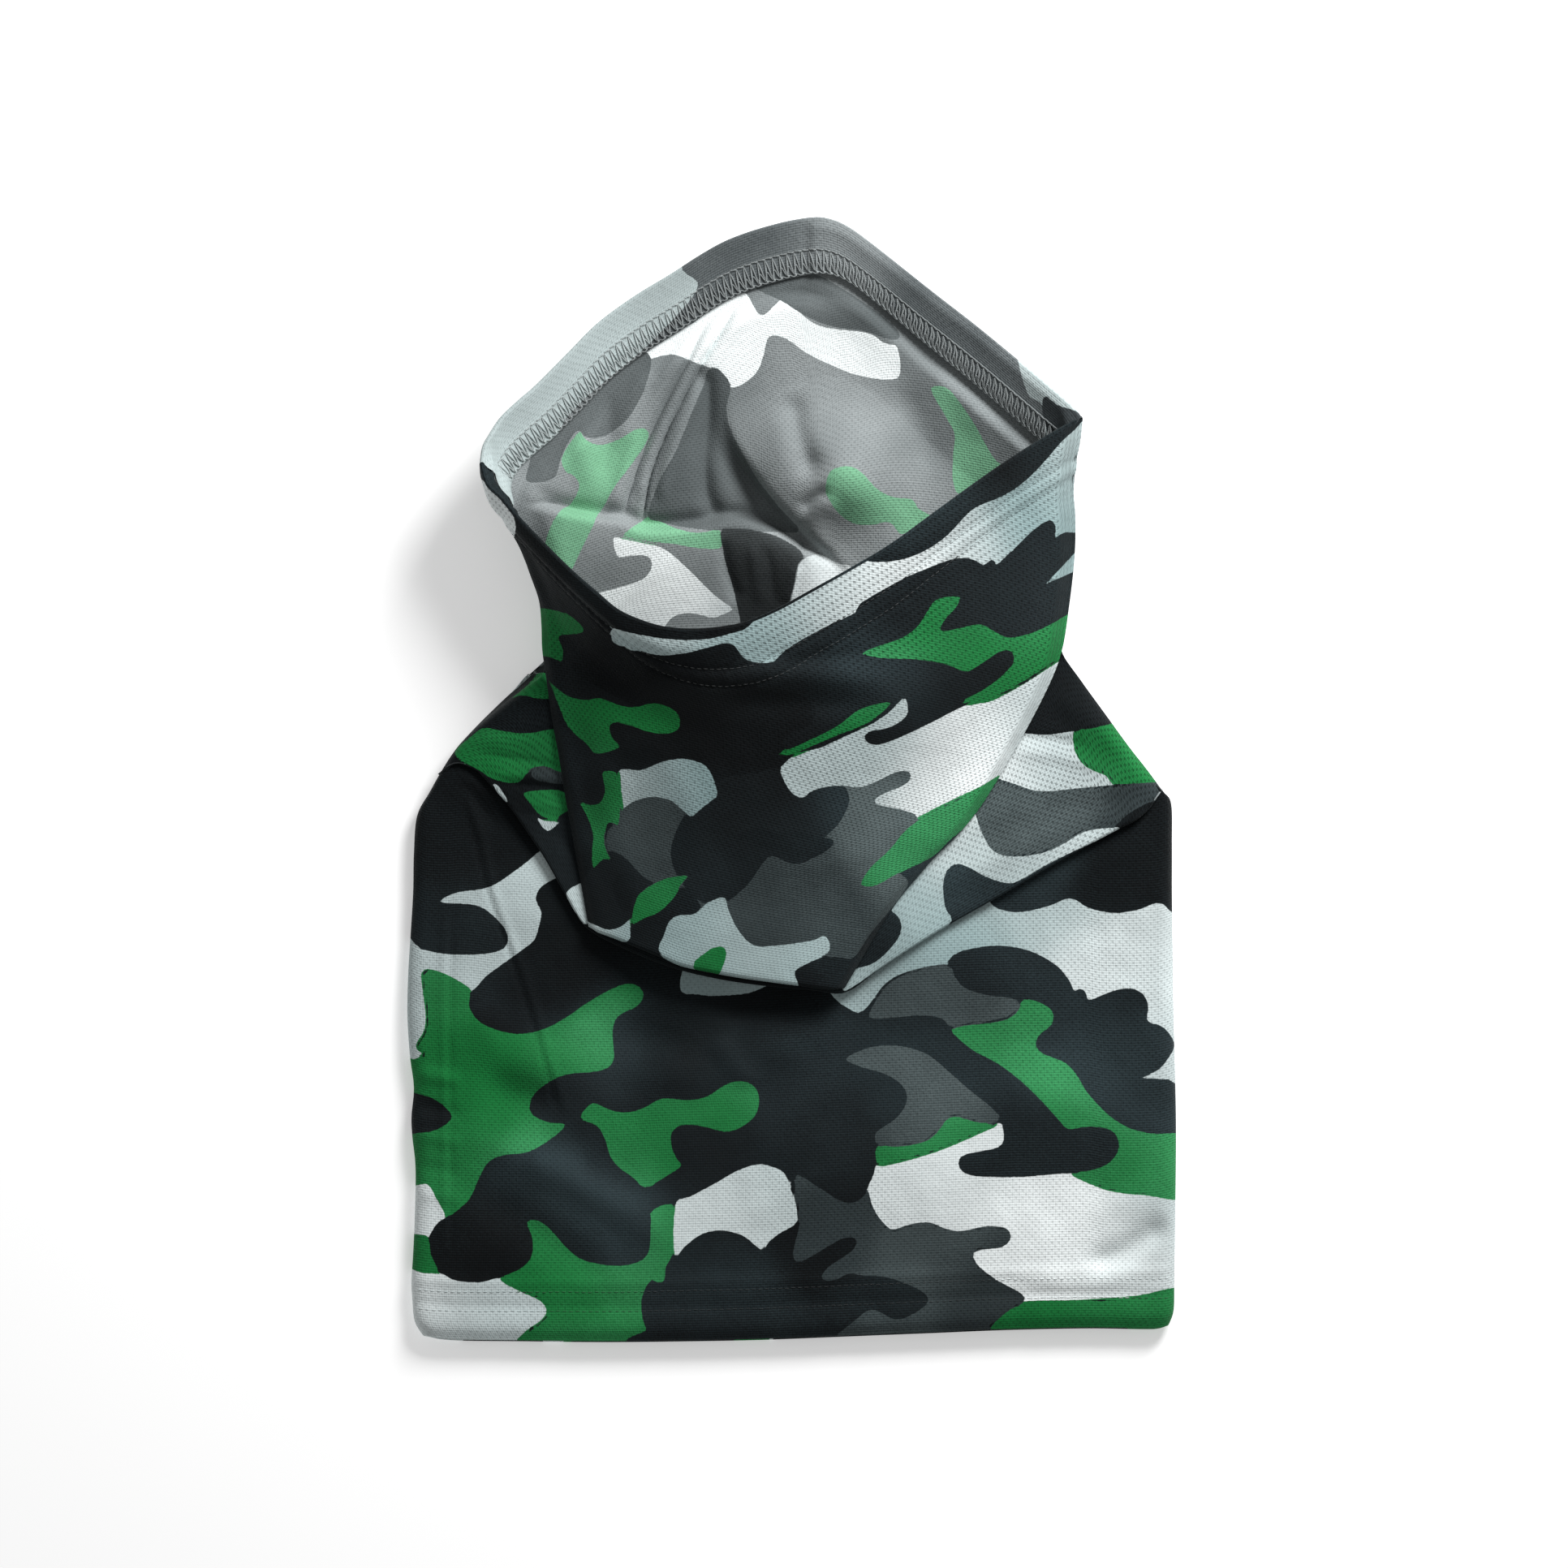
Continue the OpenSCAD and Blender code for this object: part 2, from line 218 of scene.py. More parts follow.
def relief(grid, ridges, bumps=()):
    """Sum of ridges (height, width, taper, stations) and bumps (height, x, y, radii, turn)."""
    z = np.zeros(grid.shape[:-1])
    for height, width, taper, stations in ridges:
        z = z + ridge(grid, height, width, taper, points(stations))
    for height, x, y, radius_x, radius_y, turn in bumps:
        cos, sin = math.cos(math.radians(turn)), math.sin(math.radians(turn))
        off_x, off_y = grid[..., 0] - x, grid[..., 1] - y
        z = z + height * np.exp(-((off_x * cos + off_y * sin) / radius_x) ** 2
                                - ((off_y * cos - off_x * sin) / radius_y) ** 2)
    return z


def waves(seed, count, shortest, longest):
    """A smooth random field: a fixed sum of plane waves, wavelengths in sheet steps."""
    rng = np.random.default_rng(seed)
    lengths = np.exp(rng.uniform(np.log(shortest), np.log(longest), count))
    angles = rng.uniform(0, 2 * np.pi, count)
    phases = rng.uniform(0, 2 * np.pi, count)
    heights = (lengths / longest) ** 0.5

    def field(x, y):
        out = np.zeros(np.shape(x))
        for length, angle, phase, height in zip(lengths, angles, phases, heights):
            along = x * math.cos(angle) + y * math.sin(angle)
            out = out + height * np.sin(2 * np.pi * along / length + phase)
        return out / math.sqrt((heights ** 2).sum() / 2)
    return field


def spots(grid, table, reach):
    """A smooth field through a few given values."""
    total, weight = 0.0, 1e-9
    for x, y, value in table:
        square = (grid[..., 0] - x) ** 2 + (grid[..., 1] - y) ** 2
        near = np.exp(-square / reach ** 2) + 0.002 * np.exp(-square / 150.0 ** 2) + 1e-7
        total, weight = total + near * value, weight + near
    return total / weight


# ------------------------------------------------------------------------------------------------
# Outlines of the laid-out gaiter: sheet x,y
# ------------------------------------------------------------------------------------------------
# left and right edges, from the hem up to the rim
LEFT = points("""
521,1645 511,1628 508,1600 507,1578 509,1545 511,1500 512,1440 508,1400 507,1375 510,1340
505,1300 502,1250 503,1200 506,1150 509,1100 510,1050 514,1005 530,975 541,955 556,931 573,910
606,880 640,853 670,829 668,800 667,770 664,740 653,708 643,680 633,655 622,634 611,615 599,600
593,585 591,572""")
RIGHT = points("""
1440,1632 1446,1615 1447,1580 1448,1500 1449,1400 1448,1330 1446,1250 1445,1180 1444,1100
1444,1040 1443,990 1432,974 1413,948 1391,920 1362,880 1333,840 1308,803 1312,785 1317,750
1322,710 1325,670 1325,635 1323,605 1326,575 1330,545 1334,517""")
# the hem and both halves of the rim, from left to right
HEM = points("""
521,1645 560,1649 640,1650 740,1651 840,1650 940,1648 1040,1644 1140,1640 1240,1636 1340,1634
1420,1635 1440,1632""")
RIM_BACK = points("""
591,572 594,552 603,535 616,516 637,496 660,476 698,438 735,401 780,368 826,340 860,318 890,301
920,289 950,280 975,274 1003,270 1022,272 1044,281 1075,303 1147,360 1200,401 1248,440 1290,475
1322,502 1334,517""")
RIM_FRONT = points("""
591,572 599,598 617,616 637,640 675,679 702,705 732,731 762,755 800,771 830,777 862,778 892,775
920,769 960,752 1000,730 1050,702 1100,672 1165,625 1230,579 1290,541 1334,517""")
# the cowl's front: both sides upwards, and its lower edge from left to right
COWL_LEFT = points("""
725,1141 716,1090 707,1040 697,985 689,935 680,885 672,829 668,800 667,770 664,740 653,708
643,680 633,655 622,634 611,615 599,600 593,585 591,572""")
COWL_RIGHT = points("""
1041,1217 1058,1188 1076,1157 1092,1131 1110,1105 1132,1079 1152,1056 1178,1031 1204,1000
1225,968 1243,937 1263,902 1285,860 1300,827 1308,803 1312,785 1317,750 1322,710 1325,670
1325,635 1323,605 1326,575 1330,545 1334,517""")
COWL_LOW = points("""
725,1141 752,1150 780,1161 812,1174 842,1186 880,1194 925,1202 970,1208 1008,1213 1041,1217""")
# the pleat where the shoulders' cloth lies over the lower cloth, from left to right
PLEAT = points("""
541,955 562,941 588,948 607,967 628,989 650,1020 672,1053 700,1102 724,1139 770,1165 840,1192
920,1208 1000,1216 1041,1219 1080,1193 1125,1163 1170,1135 1235,1098 1300,1060 1370,1021
1410,1000 1432,974""")
# hidden upper limit of the lower cloth, under the shoulders and the cowl
UNDER = points("""
541,955 570,925 600,925 635,950 672,1000 705,1050 750,1095 840,1140 920,1155 1000,1160
1041,1160 1080,1140 1125,1110 1170,1082 1235,1045 1300,1007 1365,972 1405,955 1432,974""")
# hidden upper limit of the shoulders, under the cowl
SHOULDER_TOP = points("670,829 760,850 900,858 1100,848 1220,828 1308,803")

# sheet y, height in mm of the side folds of the tube and of the cowl's front
LEFT_FOLD = points("""
430,34 515,34 572,33 590,30 610,26 640,21 680,17 720,14.5 770,12.5 829,10.5 880,7.5 950,4.5
1010,3.4 1700,3.2""")
RIGHT_FOLD = points("""
430,31 517,31 545,27.5 575,24 605,21 640,18 690,15.5 750,13.5 803,11.5 850,9 900,6.8 960,4.4
1010,3.5 1700,3.2""")
COWL_LEFT_FOLD = points("""
430,33 572,33 590,30 610,26 640,21 680,17 720,14.5 770,12.8 829,12.2 900,12 1000,11.8 1300,11.6""")
COWL_RIGHT_FOLD = points("""
430,31 517,31 545,27.5 575,24 605,21 640,18 690,15.6 750,13.9 803,13 900,12.4 1000,12 1300,11.6""")


def side_heights(grid, left=LEFT_FOLD, right=RIGHT_FOLD):
    """Heights of both side folds at every row."""
    return (np.interp(grid[:, :1, 1], left[:, 0], left[:, 1]),
            np.interp(grid[:, -1:, 1], right[:, 0], right[:, 1]))


def fold_down(grid, middle, radius):
    """Rounds a layer down to its side folds, which lie at the ends of its rows."""
    left_z, right_z = side_heights(grid)
    left, right = side_distances(grid)
    return (middle + (left_z - middle) * (1 - rolled(left * UNIT, radius))
            + (right_z - middle) * (1 - rolled(right * UNIT, radius)))


# ------------------------------------------------------------------------------------------------
# Printed pattern
# ------------------------------------------------------------------------------------------------


def blobs(text):
    """(ink, outline) pairs: an ink's letter starts each blob, and its sheet points follow."""
    out = []
    for word in text.split():
        if word.isalpha():
            out.append((word, []))
        else:
            out[-1][1].append([float(part) for part in word.split(",")])
    return out


# Blobs are painted one over another: W white, G green, D grey, H charcoal, K black.
LOWER_BLOBS = blobs("""
H 640,1366 648,1336 680,1318 715,1312 744,1306 748,1285 750,1262 766,1248 800,1246 860,1250
930,1256 1000,1262 1040,1272 1060,1290 1080,1300 1130,1330 1140,1360 1110,1400 1100,1440
1085,1475 1060,1492 1030,1490 1000,1480 960,1470 900,1478 850,1500 806,1500 800,1478 812,1440
800,1400 790,1375 755,1378 730,1372 716,1380 696,1386 660,1392
K 776,1300 784,1278 800,1266 822,1263 845,1270 872,1290 900,1318 902,1340 872,1360 848,1365
816,1362 797,1355 782,1330
K 880,1262 940,1268 1000,1276 1020,1292 985,1298 930,1288 895,1276
W 495,1160 520,1169 555,1175 600,1174 622,1166 623,1148 606,1128 585,1116 541,1112 562,1099
603,1092 640,1068 680,1040 700,1070 690,1080 668,1093 661,1108 668,1124 664,1145 658,1160
640,1174 622,1187 600,1203 579,1222 550,1204 530,1197 522,1199 524,1225 527,1255 522,1276
515,1289 524,1299 510,1308 490,1312
G 522,1199 535,1198 555,1206 579,1222 579,1240 590,1257 612,1268 640,1273 670,1267 700,1251
718,1238 745,1222 768,1212 785,1213 794,1225 786,1240 764,1252 757,1266 757,1285 758,1304
750,1317 732,1322 700,1325 680,1333 661,1347 654,1362 658,1373 675,1381 698,1385 682,1402
652,1420 622,1424 603,1432 591,1452 581,1475 568,1489 551,1499 540,1478 526,1457 508,1460
485,1460 485,1312 510,1308 524,1299 515,1289 525,1270 527,1250 524,1225
K 485,1395 515,1395 535,1392 552,1382 555,1373 541,1359 520,1350 485,1347
W 485,1460 508,1459 528,1457 540,1476 551,1498 540,1507 532,1519 526,1527 508,1523 485,1523
G 485,1523 508,1523 528,1527 532,1546 541,1568 520,1566 485,1562
W 485,1562 520,1566 543,1568 562,1577 592,1579 618,1574 640,1588 661,1598 674,1609 675,1620
665,1631 650,1640 636,1662 485,1670
G 618,1574 640,1563 654,1548 655,1526 648,1506 659,1502 673,1509 686,1522 700,1538 720,1552
760,1559 788,1553 799,1540 801,1505 803,1490 829,1484 830,1530 828,1549 821,1562 820,1577
812,1582 803,1578 795,1590 791,1606 793,1626 797,1640 785,1645 772,1652 765,1668 625,1668
636,1655 652,1640 669,1628 676,1615 667,1601 640,1588
G 714,1378 724,1361 734,1358 755,1367 776,1369 796,1362 816,1352 848,1354 870,1350 890,1337
905,1331 921,1332 933,1341 937,1356 932,1375 916,1389 896,1396 876,1392 858,1388 840,1388
829,1396 829,1412 834,1425 841,1437 826,1448 796,1464 780,1452 762,1439 751,1425 745,1405
735,1388
W 830,1484 850,1473 880,1457 910,1440 935,1433 951,1436 966,1443 973,1456 980,1480 984,1499
979,1510 960,1521 946,1533 941,1543 930,1535 914,1523 890,1517 866,1521 846,1535 829,1549
W 1067,1467 1075,1447 1080,1432 1100,1432 1150,1418 1190,1402 1215,1390 1232,1382 1237,1392
1237,1407 1229,1415 1205,1420 1186,1425 1182,1435 1190,1445 1212,1449 1262,1449 1322,1445
1345,1457 1372,1466 1410,1470 1470,1472 1470,1592 1400,1599 1330,1604 1264,1607 1254,1596
1229,1580 1205,1562 1197,1547 1204,1539 1233,1535 1243,1527 1238,1515 1214,1513 1185,1519
1165,1516 1144,1508 1120,1511 1100,1517 1086,1506 1074,1488
D 978,1446 1010,1462 1030,1475 1046,1481 1060,1476 1067,1467 1074,1489 1087,1508 1100,1517
1120,1511 1144,1508 1165,1516 1185,1519 1214,1513 1238,1515 1243,1526 1233,1535 1204,1539
1197,1547 1205,1562 1229,1580 1261,1600 1236,1618 1216,1640 1212,1670 1022,1670 1058,1622
1076,1611 1092,1600 1090,1584 1050,1570 1030,1578 1012,1577 1018,1562 1050,1540 1053,1527
1038,1527 1010,1543 985,1556 976,1545 984,1510 984,1492
K 1045,1577 1080,1573 1110,1580 1135,1592 1143,1603 1130,1615 1106,1625 1085,1616 1062,1604
G 1210,1670 1219,1636 1238,1616 1262,1606 1330,1604 1400,1599 1470,1592 1470,1670
G 1171,1268 1185,1262 1215,1260 1240,1255 1252,1246 1258,1232 1270,1231 1285,1236 1296,1244
1299,1255 1294,1266 1282,1275 1277,1287 1285,1297 1300,1303 1316,1311 1328,1325 1340,1345
1355,1362 1370,1376 1392,1389 1420,1396 1470,1402 1470,1472 1410,1470 1372,1466 1345,1457
1322,1445 1345,1441 1366,1432 1377,1417 1376,1402 1365,1392 1341,1389 1316,1392 1305,1382
1290,1365 1260,1335 1230,1312 1200,1296 1180,1280
W 1016,1212 1041,1214 1100,1176 1170,1130 1210,1104 1228,1118 1256,1123 1290,1116 1319,1106
1342,1118 1372,1124 1402,1120 1420,1113 1433,1113 1445,1124 1470,1138 1470,1334 1440,1331
1406,1328 1426,1318 1441,1300 1446,1287 1440,1274 1430,1265 1413,1258 1414,1240 1408,1226
1394,1219 1375,1221 1356,1228 1341,1233 1336,1222 1329,1219 1323,1223 1317,1209 1304,1193
1285,1180 1260,1170 1226,1166 1196,1170 1178,1176 1169,1184 1168,1190 1145,1193 1120,1198
1101,1206 1085,1220 1072,1238 1059,1249 1046,1244 1030,1233
D 1070,1254 1080,1230 1095,1211 1122,1198 1168,1190 1178,1204 1190,1217 1216,1225 1250,1230
1254,1242 1240,1254 1214,1259 1186,1262 1171,1266 1158,1255 1130,1252 1100,1255
D 1040,1305 1060,1293 1090,1287 1120,1290 1146,1300 1170,1320 1195,1342 1220,1362 1233,1378
1216,1385 1192,1377 1173,1374 1162,1385 1150,1398 1130,1408 1100,1411 1080,1411 1077,1396
1090,1386 1106,1374 1116,1355 1110,1338 1088,1324 1060,1316
G 1080,1411 1110,1411 1140,1404 1155,1392 1165,1378 1179,1374 1200,1380 1227,1384 1212,1392
1190,1402 1150,1418 1100,1432 1080,1433
W 842,1190 862,1184 900,1186 960,1190 1010,1200 986,1210 962,1208 944,1216 920,1225 880,1228
858,1226 838,1222""")
SHOULDER_BLOBS = blobs("""
H 600,905 590,940 640,1000 700,1000 720,1060 740,1100 700,1110 660,1060 620,1000 580,950 560,925
H 640,880 652,866 668,868 700,866 700,892 660,894 640,890
H 1245,906 1265,880 1285,845 1300,790 1400,820 1390,885 1366,892 1345,897 1325,900 1290,904
W 1240,904 1290,904 1325,901 1325,925 1334,940 1350,948 1363,955 1373,967 1350,970 1304,977
1270,975 1246,966 1225,962 1195,985 1215,930
G 1325,900 1345,896 1372,889 1400,880 1460,950 1460,968 1402,967 1374,966 1363,954 1346,947
1333,938 1325,922
D 1190,990 1212,985 1222,962 1246,967 1280,977 1330,973 1400,967 1460,967 1460,985 1420,988
1390,1003 1370,1019 1336,1022 1311,1036 1285,1048 1250,1053 1226,1048 1212,1030 1203,1008
W 1180,985 1197,991 1204,1006 1213,1030 1226,1048 1250,1054 1285,1049 1311,1036 1336,1022
1374,1018 1372,1026 1300,1060 1254,1086 1236,1088 1212,1080 1192,1069 1177,1065 1166,1074
1162,1094 1165,1118 1171,1138 1120,1170 1060,1210 1038,1222 1040,1204 1052,1193 1076,1185
1098,1165 1109,1146 1106,1130 1090,1110 1120,1070 1150,1030
G 628,862 650,843 672,820 700,820 690,858 665,862 645,858
G 560,925 582,906 598,896 620,900 650,903 690,899 700,930 705,952 690,956 675,948 655,950
640,965 612,962 590,950 572,940
D 655,950 672,946 690,953 706,955 704,966 682,966 660,961
G 645,977 665,973 690,973 714,985 706,996 692,1006 684,1012 667,1006 655,992
W 660,1005 672,1009 692,1010 685,1020 675,1025 667,1018
W 607,966 616,968 628,988 619,986
W 697,1100 720,1085 740,1085 735,1115 724,1140 712,1128""")
COWL_BLOBS = blobs("""
H 950,808 985,780 1040,752 1080,732 1130,700 1190,675 1212,685 1250,680 1300,690 1345,690
1345,760 1300,790 1242,800 1200,800 1190,830 1180,850 1130,872 1100,880 1060,890 1030,910
990,928 962,916 975,902 995,893 1004,874 984,856 935,847 903,842 895,826 915,808
H 640,690 668,700 690,745 705,775 718,800 706,815 712,830 745,850 780,870 740,870 700,868
680,852 655,835 648,760
D 758,1012 770,990 800,976 840,976 870,980 900,962 930,955 965,955 990,970 1030,960 1100,945
1130,950 1110,985 1135,1010 1120,1035 1095,1065 1120,1085 1105,1112 1074,1150 1050,1182
1015,1178 1000,1165 960,1175 900,1165 870,1130 850,1098 820,1095 795,1100 768,1082 753,1060
746,1040 748,1024
H 848,1000 860,985 875,970 895,956 930,952 960,945 990,965 1030,962 1045,985 1032,1014
1012,1034 1000,1056 977,1063 950,1053 935,1068 919,1090 890,1112 861,1108 840,1085 828,1055
834,1026
K 912,1030 935,1020 958,1027 985,1027 1010,1032 1026,1036 1020,1046 1000,1057 980,1058
955,1048 930,1038
H 690,895 712,905 740,925 760,945 758,985 740,1000 720,995 706,972 696,945 688,920
H 722,1076 745,1052 765,1055 790,1080 806,1092 795,1108 784,1130 782,1145 765,1148 745,1150
722,1140 716,1100
K 758,1084 770,1076 782,1082 780,1100 774,1122 764,1118 757,1100
K 1040,1216 1000,1216 985,1200 1000,1190 1030,1180 1055,1190
W 755,792 755,773 780,779 820,786 865,787 898,780 922,771 946,740 1000,695 1064,672 1066,689
1090,691 1115,687 1140,677 1165,660 1190,633 1205,622 1235,610 1262,592 1285,568 1305,545
1322,530 1345,516 1350,600 1340,652 1312,657 1299,664 1300,650 1293,642 1275,653 1255,672
1229,697 1223,691 1212,698 1205,694 1190,689 1165,693 1130,707 1100,722 1062,744 1055,756
1020,773 985,792 965,806 953,817 932,818 916,812 906,798 895,793 870,799 845,805 815,808 785,803
W 1286,721 1302,703 1335,672 1335,698 1300,716
K 1065,908 1078,900 1100,894 1117,880 1119,862 1150,845 1190,830 1215,815 1238,802 1249,806
1247,819 1225,842 1195,862 1160,882 1120,902 1090,915 1072,915
G 1060,806 1075,797 1110,785 1130,770 1143,750 1151,739 1166,734 1184,735 1180,748 1166,764
1161,776 1184,772 1208,768 1225,776 1242,784 1266,780 1290,770 1316,755 1345,738 1340,790
1300,815 1266,837 1240,852 1215,864 1195,867 1184,863 1210,850 1234,832 1248,816 1246,804
1234,803 1215,815 1196,827 1185,828 1165,820 1130,814 1085,812
W 960,952 968,938 985,926 1010,920 1042,906 1076,890 1096,875 1111,860 1119,864 1118,882
1097,897 1072,902 1066,910 1080,917 1110,907 1150,888 1190,868 1220,862 1245,850 1270,836
1300,815 1330,800 1320,850 1280,905 1240,960 1210,975 1183,984 1152,1000 1132,1013 1126,1005
1108,999 1080,993 1076,985 1086,977 1110,967 1120,959 1117,952 1103,954 1080,965 1060,972
1030,970 1002,976 990,985 974,978
G 1059,1088 1070,1069 1095,1045 1116,1020 1140,1005 1180,985 1210,971 1235,958 1225,990
1200,1012 1172,1035 1150,1056 1112,1075 1082,1092 1066,1094
G 958,928 990,914 1030,894 1060,872 1100,864 1076,888 1040,904 1000,921 974,931
W 760,951 790,948 815,938 840,934 860,938 873,946 882,965 886,980 878,988 865,998 852,1008
840,1000 825,988 805,984 785,988 770,997 765,1003
G 674,836 685,845 700,856 720,861 740,859 765,868 785,870 800,866 815,867 832,875 839,888
835,900 820,905 800,903 780,896 760,891 752,895 755,908 764,920 750,927 733,930 722,918
705,903 695,888 688,870
G 741,951 760,951 763,975 766,1000 762,1019 751,1014 747,1025 747,1042 755,1062 744,1060
730,1071 729,1045 730,1028 722,1005 712,985 725,990 738,988 744,974
G 779,1140 778,1125 785,1103 800,1090 822,1080 846,1077 849,1081 840,1092 830,1108 812,1125
794,1132
W 812,1174 818,1150 824,1135 836,1127 856,1125 870,1111 893,1104 900,1122 912,1146 930,1163
956,1163 1000,1157 1014,1151 1023,1158 1024,1172 1014,1180 995,1188 980,1198 984,1215
960,1215 900,1205 850,1195
W 718,1132 735,1139 750,1144 765,1140 778,1130 778,1144 774,1160 745,1156 716,1146
G 857,1188 868,1178 880,1170 891,1170 891,1182 882,1200 866,1198
G 655,752 690,752 712,765 720,778 705,783 690,785 695,800 693,816 680,812 660,802
W 570,560 600,596 618,616 634,637 637,655 628,664 605,640 580,600""")
# the reverse of the back, seen in the mouth; the charcoal on the panel left of the pouch is darker
# ink deepened as painted shade of the crevice beside it
INNER_BLOBS = blobs("""
W 788,447 795,430 815,408 850,398 872,380 900,361 920,360 932,380 941,386 965,367 982,379
1000,394 1022,402 1070,408 1090,420 1108,428 1108,467 1060,465 1020,450 990,435 968,419
949,416 943,436 935,458 916,475 900,479 893,470 884,458 860,450 828,440
H 650,592 656,560 662,535 674,505 690,482 715,460 742,445 770,434 796,436 801,452 790,482
774,512 758,528 740,536 722,538 712,530 700,545 690,565 680,588
G 690,567 700,548 715,531 723,541 738,546 760,540 780,528 795,526 799,540 780,570 757,605
736,640 716,680 700,705 670,684 680,640 700,620 711,600 706,588 695,582
G 1146,480 1158,473 1175,482 1200,515 1225,560 1240,580 1205,610 1180,610 1172,590 1173,560
1175,535 1165,515
G 1017,592 1025,577 1045,573 1062,581 1080,600 1100,610 1124,613 1133,625 1150,638 1112,660
1095,645 1072,648 1050,645 1030,631 1018,611
G 764,660 785,645 802,632 815,640 832,651 860,655 888,652 889,676 860,677 830,672 800,668
W 754,660 770,662 800,668 822,676 850,700 880,730 905,750 895,757 880,763 865,760 848,757
830,762 815,778 790,778 755,760 732,733 760,722 790,712 801,698 797,687 780,686 762,688 755,676
K 889,652 905,649 930,655 960,665 990,688 986,720 975,745 955,765 920,780 910,748 902,715
893,685
W 974,750 978,715 986,690 1010,682 1030,690 1052,700 1015,735
H 930,352 950,340 980,336 1010,342 1046,364 1096,400 1104,418 1066,406 1036,402 1006,394
966,372
H 878,453 898,473 894,501 898,525 914,557 934,590 962,626 984,651 962,656 922,653 890,652
860,652 832,648 812,640 801,634 813,598 833,557 849,517 866,477""")
# the hem turned in round the back of the rim
ALLOWANCE_BLOBS = blobs("""
W 560,640 560,540 700,390 838,310 843,335 862,360 800,430 700,520 660,620
W 1250,440 1275,430 1350,520 1300,570 1285,545 1280,505 1262,490
K 1284,494 1300,505 1328,518 1318,550 1298,556 1284,520""")

# how far the dark inks have washed out, together with painted highlights on fold crests and painted
# shade in fold valleys and the throat: sheet x, y, amount
WEAR_AND_PAINTED_LIGHT = points("""
1000,1420,.5 1330,1250,.85 1335,1305,1.5 1405,1300,1.1 1300,1410,.65 766,1285,1.5 820,1290,.3
600,1352,0 565,1412,.4 700,1180,.25 620,1540,.05 700,1468,2.4 748,1494,2 650,1440,1.5
790,1520,1 640,1500,.2 700,1535,.2 750,1440,.4 880,1580,1.3 880,1545,.35 880,1625,.35
815,1335,.5 700,1350,.5 900,1285,.8 960,1320,.85 860,1400,.35 930,1238,.1
1130,1310,.95 1130,1220,.6 1010,1500,.1 1150,1550,.75 1205,1605,0 1100,1640,.5
745,1100,.25 900,900,0 750,840,0 930,940,0 690,830,.45 1110,750,.4 1240,715,.5
1290,742,.7 1400,1060,.15 550,1040,.2 560,1140,.6 590,1000,.1 640,880,.35
1060,838,1.6 1110,845,1.1 1180,850,.3 1130,1030,1.35
1020,306,1.6 1062,330,.7 975,298,.3 930,320,.35 1150,400,.5 1250,470,.55 880,345,.4 850,560,.1
880,480,0 1080,500,.95 930,560,.65
760,550,.95 1130,612,1.2 1155,550,.1 1000,520,.45 1000,475,1 1110,420,0 1180,480,.3 690,600,.95
940,715,0 945,640,1.5 1005,640,1.5 700,480,.8 800,1035,.8 900,1000,.35 970,1042,.55
990,1110,.45
1070,1000,1.6 1310,860,.2 1280,1010,1 860,1080,.5 720,950,.4 1420,1180,.5
1180,700,.5 1000,800,.5 1000,885,0 1075,892,0 660,760,.3 620,690,.2 780,1160,.3 1380,1200,.6""", 3)
# painted light and shade on the unprinted cloth, from dull grey in painted shade to lit white:
# sheet x, y, amount
CLOTH_PAINTED_LIGHT = points("""
790,962,.45 840,1170,.15 920,1185,.3 985,1190,.2 1040,940,.4 1100,915,.35
1200,900,.9 1270,850,.6 1180,650,.6 1250,625,0 1290,620,.1 1300,580,.3
1325,545,.35 830,962,0 900,790,.1 800,790,.12 960,790,.15 1030,740,.65 1062,728,.8 1100,702,.9
640,1130,.45 690,1060,.45 560,1180,.45 520,1600,.95 570,1620,.5 500,1500,.8 900,1485,.68
950,1460,.5 1140,1455,.82 1200,1480,.9 1300,1500,1 1400,1540,.85 1455,1500,.5 1440,1640,.65
1205,935,1.15 1250,1550,1
1350,1200,.72 1200,1140,.1 1120,1180,.08 1060,1225,.2 1280,1120,.35 1420,1200,.65
1440,1300,.55 880,1210,.15 1260,930,.45 1340,960,.5 1200,1050,.5 1240,1070,.4
1120,1130,.22 1150,950,1 1060,1190,.3 1320,1035,.5 830,420,.9 1000,420,1 820,735,1.1
1005,712,.15 760,700,1""", 3)
WEAR_LIGHT_REACH, CLOTH_LIGHT_REACH = 46.0, 52.0


def paint(grid, base, shapes):
    """Signed distances, in sheet steps, to the green, grey, charcoal and black of the print."""
    fields = [np.full(grid.shape[:-1], PRINT_REACH if ink == base else -PRINT_REACH)
              for ink in "GDHK"]
    for ink, corners in shapes:
        outline = curve(corners, 4, closed=True)
        near = ((grid > outline.min(0) - PRINT_REACH)
                & (grid < outline.max(0) + PRINT_REACH)).all(-1)
        if not near.any():
            continue
        distance = to_line(grid[near], outline, closed=True)[0]
        signed = np.full(grid.shape[:-1], -PRINT_REACH)
        signed[near] = np.clip(np.where(inside(grid[near], outline), distance, -distance),
                               -PRINT_REACH, PRINT_REACH)
        level = "GDHK".find(ink)      # -1 for white, which clears every ink
        if level >= 0:
            fields[level] = np.maximum(fields[level], signed)
        for upper in range(level + 1, 4):
            fields[upper] = np.minimum(fields[upper], -signed)
    return fields


GREEN_WAVES, GREY_WAVES = waves(21, 16, 90, 330), waves(22, 16, 90, 300)
BLACK_WAVES, EDGE_WAVES = waves(23, 16, 80, 300), waves(24, 10, 60, 160)
WILD_SHIFT = (400, -240)


